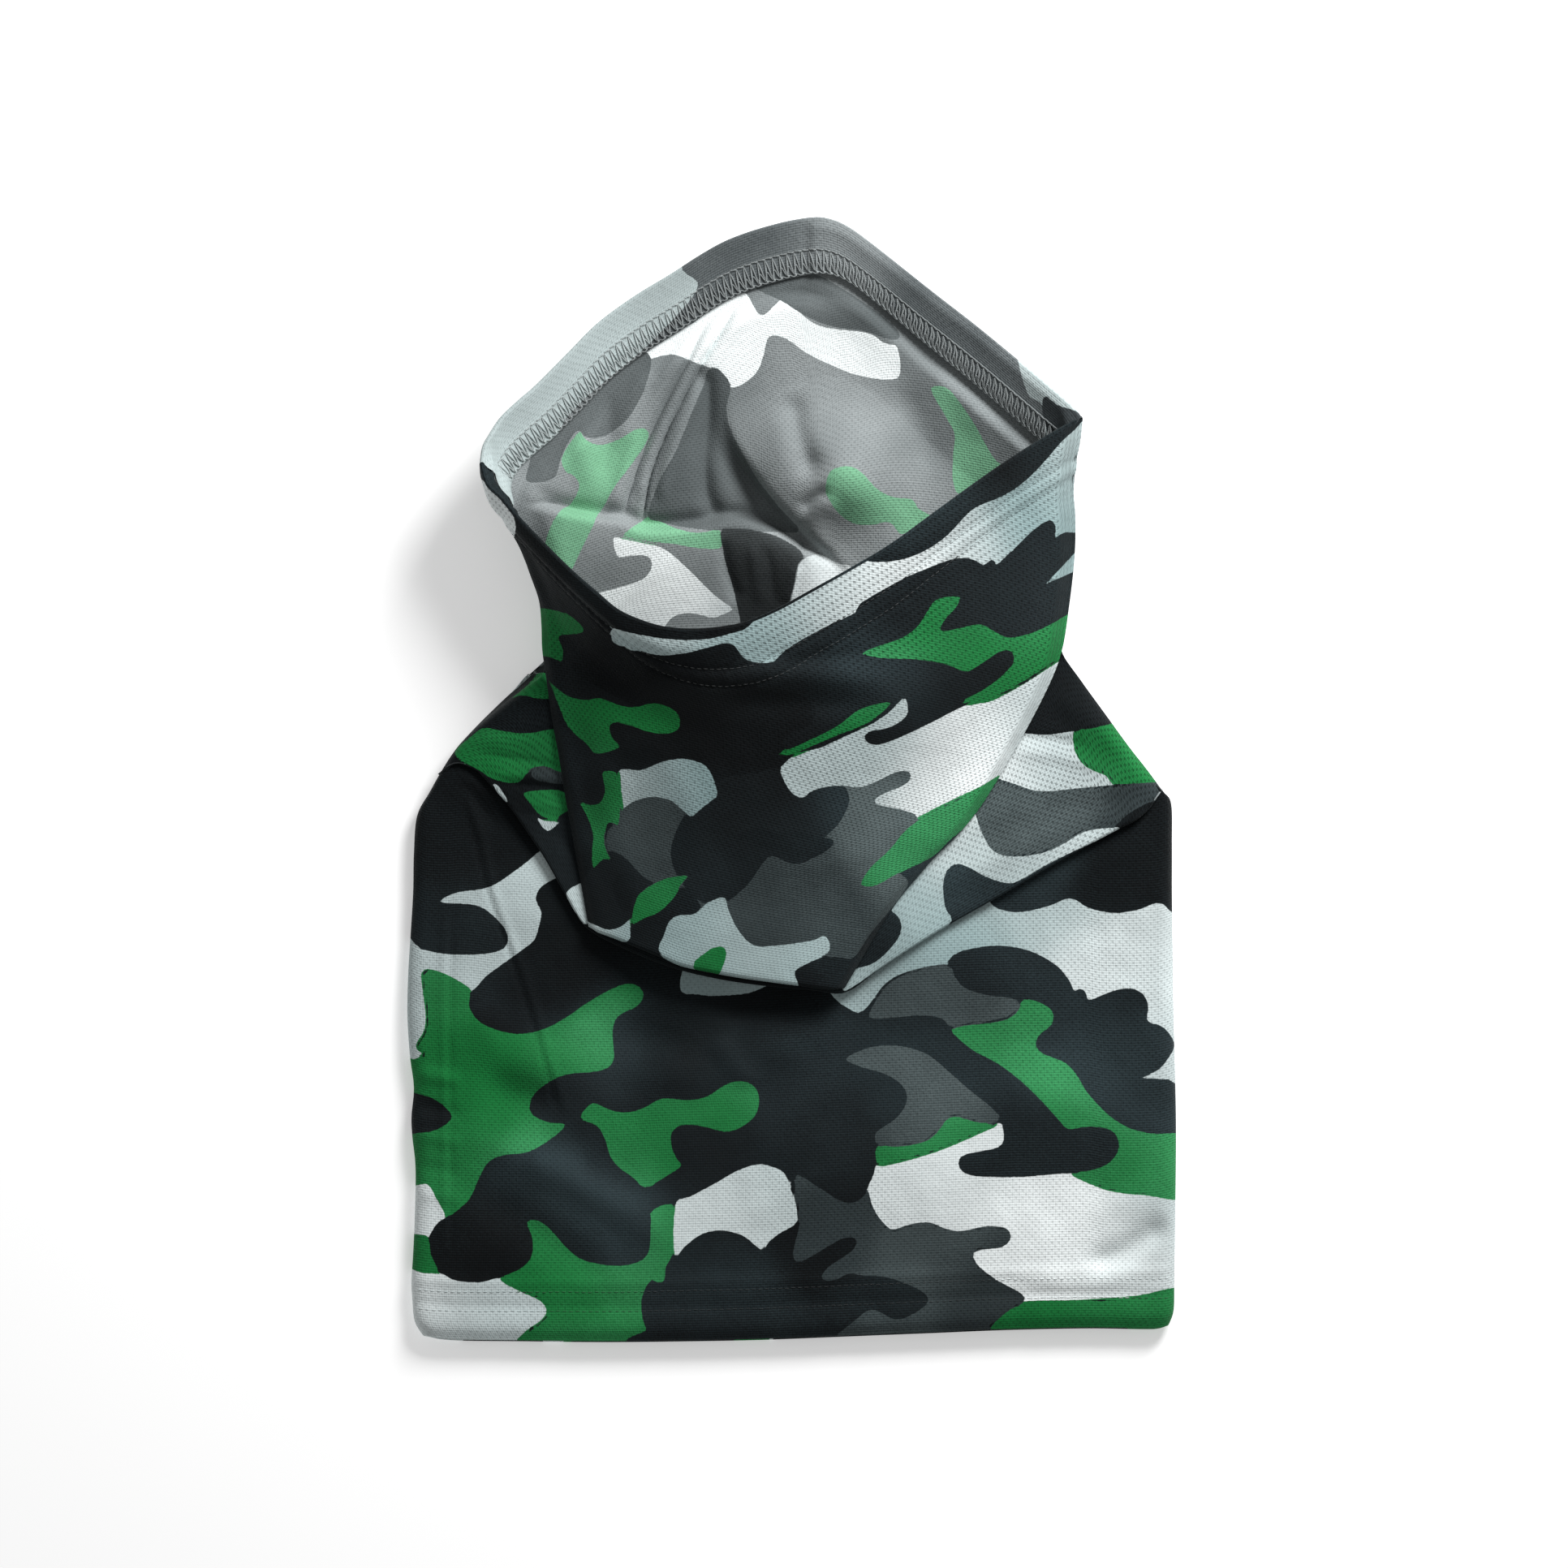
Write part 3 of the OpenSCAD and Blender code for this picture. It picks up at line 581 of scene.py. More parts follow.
def wild(grid):
    """The print where no blobs are laid out: the same inks at the same scale."""
    x, y = grid[..., 0] + WILD_SHIFT[0], grid[..., 1] + WILD_SHIFT[1]
    fields = (GREEN_WAVES(x, y) + 0.25 * EDGE_WAVES(x, y) - 0.25,
              GREY_WAVES(x, y) + 0.2 * EDGE_WAVES(y, x) - 0.55,
              GREY_WAVES(y + 60, x) + 0.25 * EDGE_WAVES(x, y + 40) - 0.75,
              BLACK_WAVES(x, y) + 0.3 * EDGE_WAVES(x + 90, y) + 0.05)
    return [np.clip(field * 22, -PRINT_REACH, PRINT_REACH) for field in fields]


def round_fold(grid, base):
    """The front's print carried on round the side folds, fading into the back's own."""
    edge = np.minimum(*side_distances(grid))
    near = edge < 72
    weight = smooth((72 - edge) / 50)[near]
    close = grid[near]
    left, y = close[:, 0] < ORIGIN[0], close[:, 1]
    pleat_y = np.where(left, PLEAT[0, 1], PLEAT[-1, 1])
    top_y = np.where(left, SHOULDER_TOP[0, 1], SHOULDER_TOP[-1, 1])
    prints = [paint(close, "K", shapes) for shapes in (LOWER_BLOBS, SHOULDER_BLOBS, COWL_BLOBS)]
    out = []
    for own, lower, shoulder, cowl in zip(base, *prints):
        field = own.copy()
        front = np.where(y > pleat_y, lower, np.where(y > top_y, shoulder, cowl))
        field[near] = weight * front + (1 - weight) * own[near]
        out.append(field)
    return out


# ------------------------------------------------------------------------------------------------
# Meshes
# ------------------------------------------------------------------------------------------------


def to_frame(grid, z):
    """Sheet points at heights z to row-frame metres, allowing for the camera's perspective."""
    plan = AXIS + (grid - AXIS) * (1 - z / CAMERA_HEIGHT)[..., None]
    return np.stack([(plan[..., 0] - ORIGIN[0]) * UNIT, (ORIGIN[1] - plan[..., 1]) * UNIT, z],
                    -1) / 1000.0


def on_sheet(spots_m):
    """Sheet points straight below row-frame points."""
    return np.stack([spots_m[..., 0] * 1000 / UNIT + ORIGIN[0],
                     ORIGIN[1] - spots_m[..., 1] * 1000 / UNIT], -1)


def unit(vectors):
    return vectors / np.maximum(np.linalg.norm(vectors, axis=-1, keepdims=True), 1e-12)


def normals(sheet):
    return unit(np.cross(np.gradient(sheet, axis=1), np.gradient(sheet, axis=0)))


def column_length(sheet):
    """Distance down each column from the last row, in mm."""
    steps = np.linalg.norm(np.diff(sheet, axis=0), axis=2) * 1000
    return np.concatenate([np.cumsum(steps[::-1], axis=0)[::-1], np.zeros((1, sheet.shape[1]))])


def arc_uv(sheet):
    """Texture coordinates in millimetres along the cloth."""
    rows, columns = sheet.shape[:2]
    across = np.linalg.norm(np.diff(sheet, axis=1), axis=2).mean(0) * 1000
    along = np.linalg.norm(np.diff(sheet, axis=0), axis=2)
    u = np.r_[0, np.cumsum(across)]
    v = np.vstack([np.zeros((1, columns)), np.cumsum(along, axis=0)]) * 1000
    return np.stack([np.broadcast_to(u[None], (rows, columns)), v], -1)


def make(name, verts, faces, mats, uv=None, attrs=None, face_mat=None):
    """A smooth-shaded mesh object of quads."""
    mesh = bpy.data.meshes.new(name)
    verts = np.asarray(verts, np.float32)
    faces = np.asarray(faces, np.int32)
    mesh.vertices.add(len(verts))
    mesh.vertices.foreach_set("co", verts.ravel())
    mesh.loops.add(faces.size)
    mesh.loops.foreach_set("vertex_index", faces.ravel())
    mesh.polygons.add(len(faces))
    mesh.polygons.foreach_set("loop_start", np.arange(0, faces.size, 4, dtype=np.int32))
    mesh.polygons.foreach_set("loop_total", np.full(len(faces), 4, np.int32))
    if face_mat is not None:
        mesh.polygons.foreach_set("material_index", np.asarray(face_mat, np.int32))
    mesh.polygons.foreach_set("use_smooth", np.full(len(faces), True))
    if uv is not None:
        layer = mesh.uv_layers.new(name="knit")
        layer.data.foreach_set("uv", np.asarray(uv, np.float32)[faces.ravel()].ravel())
    for key, values in (attrs or {}).items():
        attribute = mesh.attributes.new(key, "FLOAT", "POINT")
        attribute.data.foreach_set("value", np.asarray(values, np.float32).ravel())
    mesh.update()
    mesh.validate()
    for mat in mats:
        mesh.materials.append(mat)
    thing = bpy.data.objects.new(name, mesh)
    bpy.context.scene.collection.objects.link(thing)
    return thing


def print_attrs(fields, verts):
    """Vertex values the print is drawn from, with its wear and painted light, the painted light and
    shade of the bare cloth, and the stretch of the knit.
    """
    grid = on_sheet(verts)
    out = {"print_" + key: field for key, field in zip("gdhk", fields)}
    out["wear_and_painted_light"] = spots(grid, WEAR_AND_PAINTED_LIGHT, WEAR_LIGHT_REACH)
    out["cloth_painted_light"] = spots(grid, CLOTH_PAINTED_LIGHT, CLOTH_LIGHT_REACH)
    out["stretch"] = 0.5 + 0.5 * smooth((1130 - grid[..., 1]) / 160)
    return out


def cloth(name, sheet, mats, fields, flip=False, thick=KNIT_THICK, rims="", uv=None, far=None):
    """A sheet with real thickness on a grid of row-frame points. rims names the edges closed with
    a wall: b first row, t last row, l first column, r last column. The far face lies below the
    grid, or above it with flip; far gives that face a print of its own."""
    rows, columns = sheet.shape[:2]
    count = rows * columns
    outward = -normals(sheet) if flip else normals(sheet)
    if uv is None:
        uv = arc_uv(sheet)
    verts = np.concatenate([sheet.reshape(-1, 3),
                            (sheet - outward * thick / 1000.0).reshape(-1, 3)])
    index = np.arange(count).reshape(rows, columns)
    near = np.stack([index[:-1, :-1].ravel(), index[:-1, 1:].ravel(),
                     index[1:, 1:].ravel(), index[1:, :-1].ravel()], 1)
    if flip:
        near = near[:, ::-1]
    faces = [near, near[:, ::-1] + count]
    mat = [np.zeros(len(near)), np.ones(len(near))]
    edges = {"b": index[0], "t": index[-1][::-1], "l": index[:, 0][::-1], "r": index[:, -1]}
    for side in rims:
        edge = edges[side]
        wall = np.stack([edge[:-1], edge[:-1] + count, edge[1:] + count, edge[1:]], 1)
        faces.append(wall[:, ::-1] if flip else wall)
        mat.append(np.zeros(len(wall)))
    both = [np.r_[one.ravel(), other.ravel()]
            for one, other in zip(fields, fields if far is None else far)]
    return make(name, verts, np.concatenate(faces), mats, np.tile(uv.reshape(-1, 2), (2, 1)),
                print_attrs(both, verts), np.concatenate(mat))


def hand_over(thing, pieces, bodies):
    """Parents the object to its body when it has one; with two bodies it is only baked into the
    world frame.
    The named pieces of the imported model are hidden."""
    if len(bodies) == 1:
        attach(thing, bodies[0])
    else:
        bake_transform(thing)
    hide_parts(*pieces)


def edge_frame(edge, following, normal):
    """Unit directions that lead outwards from an edge, in the plane of the sheet."""
    out = edge - following
    out = out - (out * normal).sum(1, keepdims=True) * normal
    return out / np.maximum(np.linalg.norm(out, axis=1, keepdims=True), 1e-9)


def half_round(edge, normal, out, radius, steps):
    """Rows that carry a sheet round an edge in a half circle; radius in metres."""
    angles = [math.pi * i / steps for i in range(1, steps + 1)]
    return [edge - normal * radius + radius * (math.cos(a) * normal + math.sin(a) * out)
            for a in angles]


def roll_under(sheet, normal, radius, back):
    """The sheet's rows and, before them, its first edge rolled under with a return ply. radius
    and back, the length of that ply, are in mm per column."""
    out = edge_frame(sheet[0], sheet[1], normal[0])
    rows = half_round(sheet[0], normal[0], out, radius[:, None] / 1000.0, 9)
    last = rows[-1]
    for i in range(1, 7):
        rows.append(last - out * (back[:, None] / 1000.0) * i / 6)
    return np.concatenate([np.stack(rows)[::-1], sheet])


def turned(sheet, normal, radius, depth):
    """A hem allowance, round the last row and back along the inside, and its depths in mm."""
    length = column_length(sheet)
    edge = sheet[-1]
    columns = len(edge)
    out = edge_frame(edge, sheet[-2], normal[-1])
    rows = [edge.copy()] + half_round(edge, normal[-1], out, radius / 1000, ROUND_STEPS)
    depths = [np.full(columns, -math.pi * radius * i / ROUND_STEPS)
              for i in range(ROUND_STEPS + 1)]
    for i in range(1, TURNED_ROWS + 1):
        t = depth * i / TURNED_ROWS
        row = np.empty_like(edge)
        for j in range(columns):
            along = length[::-1, j]
            for c in range(3):
                row[j, c] = (np.interp(t, along, sheet[::-1, j, c])
                             - 2 * radius / 1000 * np.interp(t, along, normal[::-1, j, c]))
        rows.append(row)
        depths.append(np.full(columns, t))
    return np.stack(rows), np.stack(depths)


def draw_in(sheet, depth, inward, lift):
    """Draws a turned hem's ends in from the side folds, in mm, inside the cloth's curve."""
    edge = 1000 * np.minimum(np.linalg.norm(sheet - sheet[:, :1], axis=2),
                             np.linalg.norm(sheet - sheet[:, -1:], axis=2))
    weight = smooth((11 - edge) / 11) * smooth(depth / 3.5) / 1000
    sheet[..., 0] -= np.sign(sheet[..., 0]) * inward * weight
    sheet[..., 2] += lift * weight


# ------------------------------------------------------------------------------------------------
# Materials
# ------------------------------------------------------------------------------------------------


def srgb(red, green, blue):
    """Linear colour from 8-bit sRGB."""
    parts = (part / 255 for part in (red, green, blue))
    return tuple(part / 12.92 if part <= 0.04045 else ((part + 0.055) / 1.055) ** 2.4
                 for part in parts) + (1.0,)


def grey(value):
    return (value, value, value, 1)


class Nodes:
    """Short hand for building a node tree."""

    def __init__(self, name):
        self.material = bpy.data.materials.new(name)
        self.material.use_nodes = True
        self.tree = self.material.node_tree
        self.tree.nodes.clear()
        output = self.tree.nodes.new("ShaderNodeOutputMaterial")
        self.shader = self.tree.nodes.new("ShaderNodeBsdfPrincipled")
        self.tree.links.new(self.shader.outputs[0], output.inputs[0])
        self.where = self.tree.nodes.new("ShaderNodeTexCoord").outputs["Object"]

    def put(self, socket, value):
        if hasattr(value, "node"):
            self.tree.links.new(value, socket)
        else:
            socket.default_value = value

    def node(self, kind, **inputs):
        """A node with inputs set by name; underscores stand for spaces."""
        node = self.tree.nodes.new(kind)
        for key, value in inputs.items():
            self.put(node.inputs[key.replace("_", " ")], value)
        return node

    def surface(self, **inputs):
        for key, value in inputs.items():
            self.put(self.shader.inputs[key.replace("_", " ")], value)

    def math(self, operation, first, second=0.0, clamp=False):
        node = self.tree.nodes.new("ShaderNodeMath")
        node.operation = operation
        node.use_clamp = clamp
        for socket, value in zip(node.inputs, (first, second, 0.0)):
            self.put(socket, value)
        return node.outputs[0]

    def add(self, first, second):
        return self.math("ADD", first, second)

    def times(self, first, second):
        return self.math("MULTIPLY", first, second)

    def minus(self, first, second):
        return self.math("SUBTRACT", first, second)

    def wave(self, value, pitch):
        return self.math("SINE", self.times(value, 2 * math.pi / pitch))

    def step(self, value, start, end):
        node = self.node("ShaderNodeMapRange", Value=value, From_Min=start, From_Max=end)
        node.interpolation_type = "SMOOTHSTEP"
        return node.outputs["Result"]

    def ramp(self, value, source, target):
        """Maps the source range on to the target range."""
        return self.node("ShaderNodeMapRange", Value=value, From_Min=source[0],
                         From_Max=source[1], To_Min=target[0],
                         To_Max=target[1]).outputs["Result"]

    def mix(self, factor, first, second, kind="MIX"):
        node = self.tree.nodes.new("ShaderNodeMix")
        node.data_type = "RGBA"
        node.blend_type = kind
        for socket, value in ((0, factor), (6, first), (7, second)):
            self.put(node.inputs[socket], value)
        return node.outputs[2]

    def multiply(self, first, second):
        return self.mix(1.0, first, second, "MULTIPLY")

    def shade(self, colour, value):
        """A colour darkened or lightened by a value."""
        node = self.node("ShaderNodeCombineColor", Red=value, Green=value, Blue=value)
        return self.multiply(colour, node.outputs[0])

    def attr(self, name):
        node = self.tree.nodes.new("ShaderNodeAttribute")
        node.attribute_name = name
        return node.outputs["Fac"]

    def noise(self, scale, detail, rough=0.5):
        return self.node("ShaderNodeTexNoise", Vector=self.where, Scale=scale, Detail=detail,
                         Roughness=rough).outputs["Fac"]

    def centred(self, noise, amount):
        return self.times(self.minus(noise, 0.5), amount)

    def printed(self, palette, grain=0.0):
        """Colour of the print: inks laid one over another, each by its distance and by its wear and
        painted light; the bare cloth by its painted light and shade.
        """
        edge = self.centred(self.noise(scale=900, detail=2), amount=1.6)
        # the dark inks lighten with wear and under painted highlights, and stay dark in painted
        # shade
        worn_or_lit = self.add(self.attr("wear_and_painted_light"), self.centred(self.noise(scale=60, detail=3), amount=0.5))
        worn_or_lit = self.math("DIVIDE", self.add(worn_or_lit, grain), 1.6, clamp=True)
        worn_or_lit = self.math("POWER", worn_or_lit, 1.4)
        # painted light and shade on the unprinted cloth
        colour = self.mix(self.attr("cloth_painted_light"), *palette[0])
        # how softly each ink's edge runs out, in sheet steps
        for key, (fresh, washed), bleed in zip("gdhk", palette[1:], (2.6, 2.1, 1.6, 1.0)):
            distance = self.add(self.attr("print_" + key), edge)
            colour = self.mix(self.step(distance, start=-0.5 - bleed, end=0.5 - bleed), colour,
                              self.mix(worn_or_lit, fresh, washed))
        return colour

    def uv(self):
        node = self.tree.nodes.new("ShaderNodeUVMap")
        node.uv_map = "knit"
        parts = self.node("ShaderNodeSeparateXYZ", Vector=node.outputs[0])
        return parts.outputs[0], parts.outputs[1]

    def bump(self, height, distance, strength, normal=None):
        node = self.node("ShaderNodeBump", Height=height, Distance=distance, Strength=strength)
        if normal is not None:
            self.put(node.inputs["Normal"], normal)
        return node.outputs[0]


def knit_material(name, palette, rough, sheen, mesh_depth):
    """Printed micro-mesh knit: the print, eyelet dashes in rows with painted shade in them, fine
    jersey wales and courses with painted light and shade along them, slight fading and lint."""
    k = Nodes(name)
    u, v = k.uv()
    course = k.wave(v, pitch=0.82)
    wale = k.wave(u, pitch=0.78)
    lint = k.add(course, k.centred(k.noise(scale=1500, detail=2, rough=0.6), amount=4.0))
    lint_amount = k.ramp(k.noise(scale=20, detail=2), source=(0.35, 0.65), target=(0.5, 1.5))
    colour = k.printed(palette, grain=k.times(k.times(lint, 0.16), lint_amount))
    # uneven take-up of the dye
    cloud = k.noise(scale=26, detail=3)
    colour = k.shade(colour, k.ramp(cloud, source=(0.3, 0.7), target=(0.86, 1.12)))
    fine = k.noise(scale=1500, detail=2, rough=0.6)
    # staggered upright eyelet dashes
    dash_pitch, row_pitch = 2.3, 1.15
    row = k.math("DIVIDE", v, row_pitch)
    stagger = k.times(k.math("MODULO", k.math("FLOOR", row), 2.0), 0.5)
    place = k.math("FRACT", k.add(k.math("DIVIDE", u, dash_pitch), stagger))
    across = k.math("ABSOLUTE", k.minus(place, 0.5))
    along = k.math("ABSOLUTE", k.minus(k.math("FRACT", row), 0.5))
    hole = k.times(k.step(across, start=0.19, end=0.09), k.step(along, start=0.46, end=0.26))
    weave = k.times(k.add(course, k.times(wale, 0.6)), 0.5)
    patchy = k.ramp(k.noise(scale=14, detail=1), source=(0.35, 0.62), target=(0.45, 1.0))
    depth = k.times(k.times(hole, patchy), k.attr("stretch"))
    # painted shade in the eyelets and painted light and shade along the weave, with a little fine
    # grain
    shade = k.minus(1.0, k.times(depth, 0.46 * mesh_depth))
    shade = k.add(shade, k.times(weave, 0.08))
    shade = k.add(shade, k.centred(fine, amount=0.22))
    height = k.add(k.times(weave, 0.5), k.times(depth, -1.1 * mesh_depth))
    height = k.add(height, k.times(fine, 0.5))
    normal = k.bump(height, distance=0.00012, strength=0.8)
    normal = k.bump(k.noise(scale=320, detail=3), distance=0.00035, strength=0.5, normal=normal)
    k.surface(Base_Color=k.shade(colour, shade), Normal=normal,
              Roughness=k.ramp(cloud, source=(0.3, 0.7), target=(rough - 0.08, rough + 0.08)),
              Specular_IOR_Level=0.12, Sheen_Weight=sheen, Sheen_Roughness=0.45,
              Sheen_Tint=(0.8, 0.86, 0.86, 1))
    return k.material


def thread_material(name, rgb, sheen=0.3, palette=None, own=1.0):
    """Spun sewing thread with a plied twist, painted shade in the twist's grooves, and a soft
    sheen. With a palette it takes the print's colour too, and keeps the share own of its own."""
    k = Nodes(name)
    colour = srgb(*rgb)
    # painted shade in the grooves of the twist
    twist_shade = tuple(0.55 * part for part in colour[:3]) + (1,)
    if palette is not None:
        ink = k.printed(palette)
        twist_shade = k.mix(own, k.multiply(ink, grey(0.6)), twist_shade)
        colour = k.mix(own, k.multiply(ink, grey(1.3)), colour)
    u, v = k.uv()
    twist = k.wave(k.add(u, k.times(v, 0.7)), pitch=0.45)
    fuzz = k.noise(scale=700, detail=2)
    shown = k.mix(k.ramp(twist, source=(-1, 1), target=(0.0, 0.35)), colour, twist_shade)
    shown = k.mix(k.ramp(fuzz, source=(0.3, 0.7), target=(0.0, 0.3)), shown,
                  k.multiply(colour, grey(1.15)))
    k.surface(Base_Color=shown,
              Normal=k.bump(k.add(twist, fuzz), distance=0.00006, strength=0.8),
              Roughness=k.ramp(fuzz, source=(0.3, 0.7), target=(0.5, 0.72)),
              Sheen_Weight=sheen, Specular_IOR_Level=0.4)
    return k.material


def palette_of(*rows):
    """(fresh, worn or lit) colours per ink, the cloth's as (in painted shade, lit); a row of three
    numbers serves for both.
    """
    return [(srgb(*row[:3]), srgb(*row[-3:])) for row in rows]


# cloth, green, grey, charcoal, black: sRGB fresh, then washed out or in painted highlight; for the
# cloth, in painted shade, then lit white; the backing's black is darkened by painted shade for the
# throat
FACE = palette_of((125, 152, 153, 236, 242, 242), (20, 110, 52, 66, 154, 98),
                  (42, 50, 52, 98, 110, 111), (15, 19, 21, 48, 60, 64), (8, 11, 13, 50, 63, 67))
BACKING = palette_of((168, 176, 177, 243, 249, 249), (122, 178, 142),
                     (118, 124, 125, 165, 171, 172), (84, 90, 91, 112, 118, 119),
                     (31, 34, 35, 78, 83, 84))
TURNED = palette_of((172, 184, 184), (60, 120, 86), (72, 78, 80, 150, 156, 157), (70, 76, 78),
                    (56, 61, 63))

knit_face = knit_material("printed_knit_face", FACE, rough=0.82, sheen=0.06, mesh_depth=1.0)
knit_reverse = knit_material("knit_reverse", BACKING, rough=0.85, sheen=0.1, mesh_depth=0.45)
knit_turned = knit_material("turned_hem_knit", TURNED, rough=0.85, sheen=0.1, mesh_depth=0.4)
needle_thread = thread_material("needle_thread", (204, 212, 212), sheen=0.1, palette=FACE,
                                own=0.04)
looper_thread = thread_material("looper_thread", (170, 178, 178))
rim_thread = thread_material("rim_looper_thread", (186, 194, 194), palette=TURNED, own=0.42)
hem_thread = thread_material("hem_needle_thread", (120, 132, 132), sheen=0.1, palette=FACE,
                             own=0.04)
thread_material("overlock_edge", (168, 176, 177))      # a spare, in no piece's slots

# ------------------------------------------------------------------------------------------------
# Lower cloth of the front, from the hem up to the pleat
# ------------------------------------------------------------------------------------------------
LOW_WAVES, FINE_WAVES = waves(11, 14, 130, 420), waves(12, 18, 34, 90)

# height, width, taper, stations
LOWER_RIDGES = [
    # long soft folds running down to the right from the left side
    (2.5, 24, 0.3, "600,1400 680,1442 760,1487 840,1545"),
    (-1.9, 26, 0.3, "560,1440 620,1490 690,1535 760,1580"),
    (1.9, 32, 0.3, "560,1240 620,1290 690,1322 760,1330"),
    (-1.8, 24, 0.35, "585,1330 640,1352 700,1362"),
    (0.9, 20, 0.3, "560,1395 600,1412 650,1418"),
    (1.1, 15, 0.3, "870,1275 905,1310 930,1345"),
    (1.0, 22, 0.3, "860,1262 930,1290 1010,1300"),
    # hollow just under the cowl's lower edge
    (-1.2, 24, 0.25, "735,1165 850,1215 1000,1245 1090,1225"),
    # right side: a slanting dent above the hem and soft swells
    (-1.9, 15, 0.25, "1330,1560 1390,1540 1445,1500"),
    (1.0, 26, 0.3, "1290,1490 1370,1490 1440,1460"),
    (0.8, 12, 0.3, "1240,1572 1330,1580 1420,1572"),
    # faint slanting crease and the upright line pressed in by the seam inside
    (-0.65, 2.6, 0.08, "562,962 585,1030 600,1095 632,1185 660,1272 692,1382"),
    (0.45, 5.0, 0.08, "570,962 593,1030 608,1095 640,1185 668,1272 700,1382"),
    (-0.4, 2.6, 0.12, "556,1100 554,1250 555,1400 556,1560"),
    (0.35, 4.5, 0.12, "548,1100 546,1250 547,1400 548,1560")]
# height, x, y, radius x, radius y, turn in degrees
LOWER_BUMPS = [(1.9, 825, 1322, 46, 26, -15), (-1.5, 800, 1275, 40, 24, -10)]
# sheet y and height of the short cross wrinkles at the left edge
EDGE_WRINKLES = [(1322, 0.9), (1362, -0.8), (1398, 0.7), (1436, -0.6), (1468, 0.6)]
# reach in x and y, and height, of the creases that fan out below the left end of the pleat
FAN_START, FAN_CREASES = (556, 950), [(78, 46, 0.8), (66, 78, -0.7), (44, 96, 0.6)]

HEM_CURVE = curve(HEM, 10)


def lower_height(grid):
    """Top of the lower front cloth, away from its side folds."""
    x, y = grid[..., 0], grid[..., 1]
    z = 6.6 + 0.55 * LOW_WAVES(x, y) * smooth((1640 - y) / 160) + 0.05 * FINE_WAVES(x, y)
    z = z + 0.5 * smooth((1300 - y) / 150)
    z = z + relief(grid, LOWER_RIDGES, LOWER_BUMPS)
    for start_y, height in EDGE_WRINKLES:
        wrinkle = [(505, start_y), (535, start_y + 4), (575, start_y + 12)]
        z = z + ridge(grid, height, 9, 0.3, wrinkle)
    for reach_x, reach_y, height in FAN_CREASES:
        crease = [(FAN_START[0] + reach_x * t, FAN_START[1] + reach_y * t) for t in (0, 0.5, 1)]
        z = z + ridge(grid, height, 8, 0.3, crease)
    # hem: turned-up allowance and the pull of the stitches
    below = y - np.interp(x, HEM_CURVE[:, 0], HEM_CURVE[:, 1])
    z = z + 0.55 * np.exp(-((below + 66) / 9) ** 2) - 0.4 * np.exp(-((below + 40) / 4.0) ** 2)
    z = z - 0.35 * np.exp(-((below + 62.0) / 2.5) ** 2)
    z = z + 0.45 * np.exp(-((below + 18) / 13) ** 2)
    return z - 1.0 * smooth((below + 14) / 14) ** 2


left_curve, right_curve = curve(LEFT, 10), curve(RIGHT, 10)
left_pleat, right_pleat = nearest(left_curve, PLEAT[0]), nearest(right_curve, PLEAT[-1])
left_side = cut_at(left_curve[: left_pleat + 1], BEND_Y, LOW_ROWS, WAIST_ROWS)
right_side = cut_at(right_curve[: right_pleat + 1], BEND_Y, LOW_ROWS, WAIST_ROWS)
left_low, right_low = left_side[: LOW_ROWS + 1], right_side[: LOW_ROWS + 1]
cut_line = np.array([left_side[LOW_ROWS], right_side[LOW_ROWS]])
pleat_curve = curve(PLEAT, 8)

lower_fractions = spaced(LOWER_COLUMNS)
lower_grid = np.concatenate([
    patch(HEM_CURVE, cut_line, left_low, right_low, lower_fractions),
    patch(cut_line, curve(UNDER, 10), left_side[LOW_ROWS:], right_side[LOW_ROWS:],
          lower_fractions)[1:]])
lower_z = fold_down(lower_grid, lower_height(lower_grid), radius=5.2)
# pressed flat where the shoulders' cloth lies over it
over_pleat = np.vstack([pleat_curve, (1500, 900), (1500, 700), (450, 700), (450, 955)])
covered = np.where(inside(lower_grid, over_pleat), to_line(lower_grid, pleat_curve)[0], 0)
lower_z = lower_z - 0.9 * smooth(covered / 14)
lower_print = paint(lower_grid, "K", LOWER_BLOBS)
lower_sheet = to_frame(lower_grid, lower_z)
lower_uv = arc_uv(lower_sheet)

low_part, waist_part = slice(0, LOW_ROWS + 1), slice(LOW_ROWS, None)
low_sheet, waist_sheet = lower_sheet[low_part], lower_sheet[waist_part]
# a weight, most at the middle of the hem and nothing at the side folds or where the cloth joins the
# waist; it is handed to the hem's stitch strip, which passes it on unused
low_weight = (smooth((0.119 - np.abs(low_sheet[..., 0])) / 0.105)
              * smooth((-0.1155 - low_sheet[..., 1]) / 0.030))

lower_front = cloth("lower_front_cloth", low_sheet, [knit_face, knit_reverse],
                    [field[low_part] for field in lower_print], uv=lower_uv[low_part])
waist_front = cloth("waist_front_cloth", waist_sheet, [knit_face, knit_reverse],
                    [field[waist_part] for field in lower_print], uv=lower_uv[waist_part],
                    rims="t")
hand_over(lower_front, ["lower_front_panel"], ["lower_back", "lower_front"])
hand_over(waist_front, ["waist_front_panel"], ["lower_back", "upper_tube"])

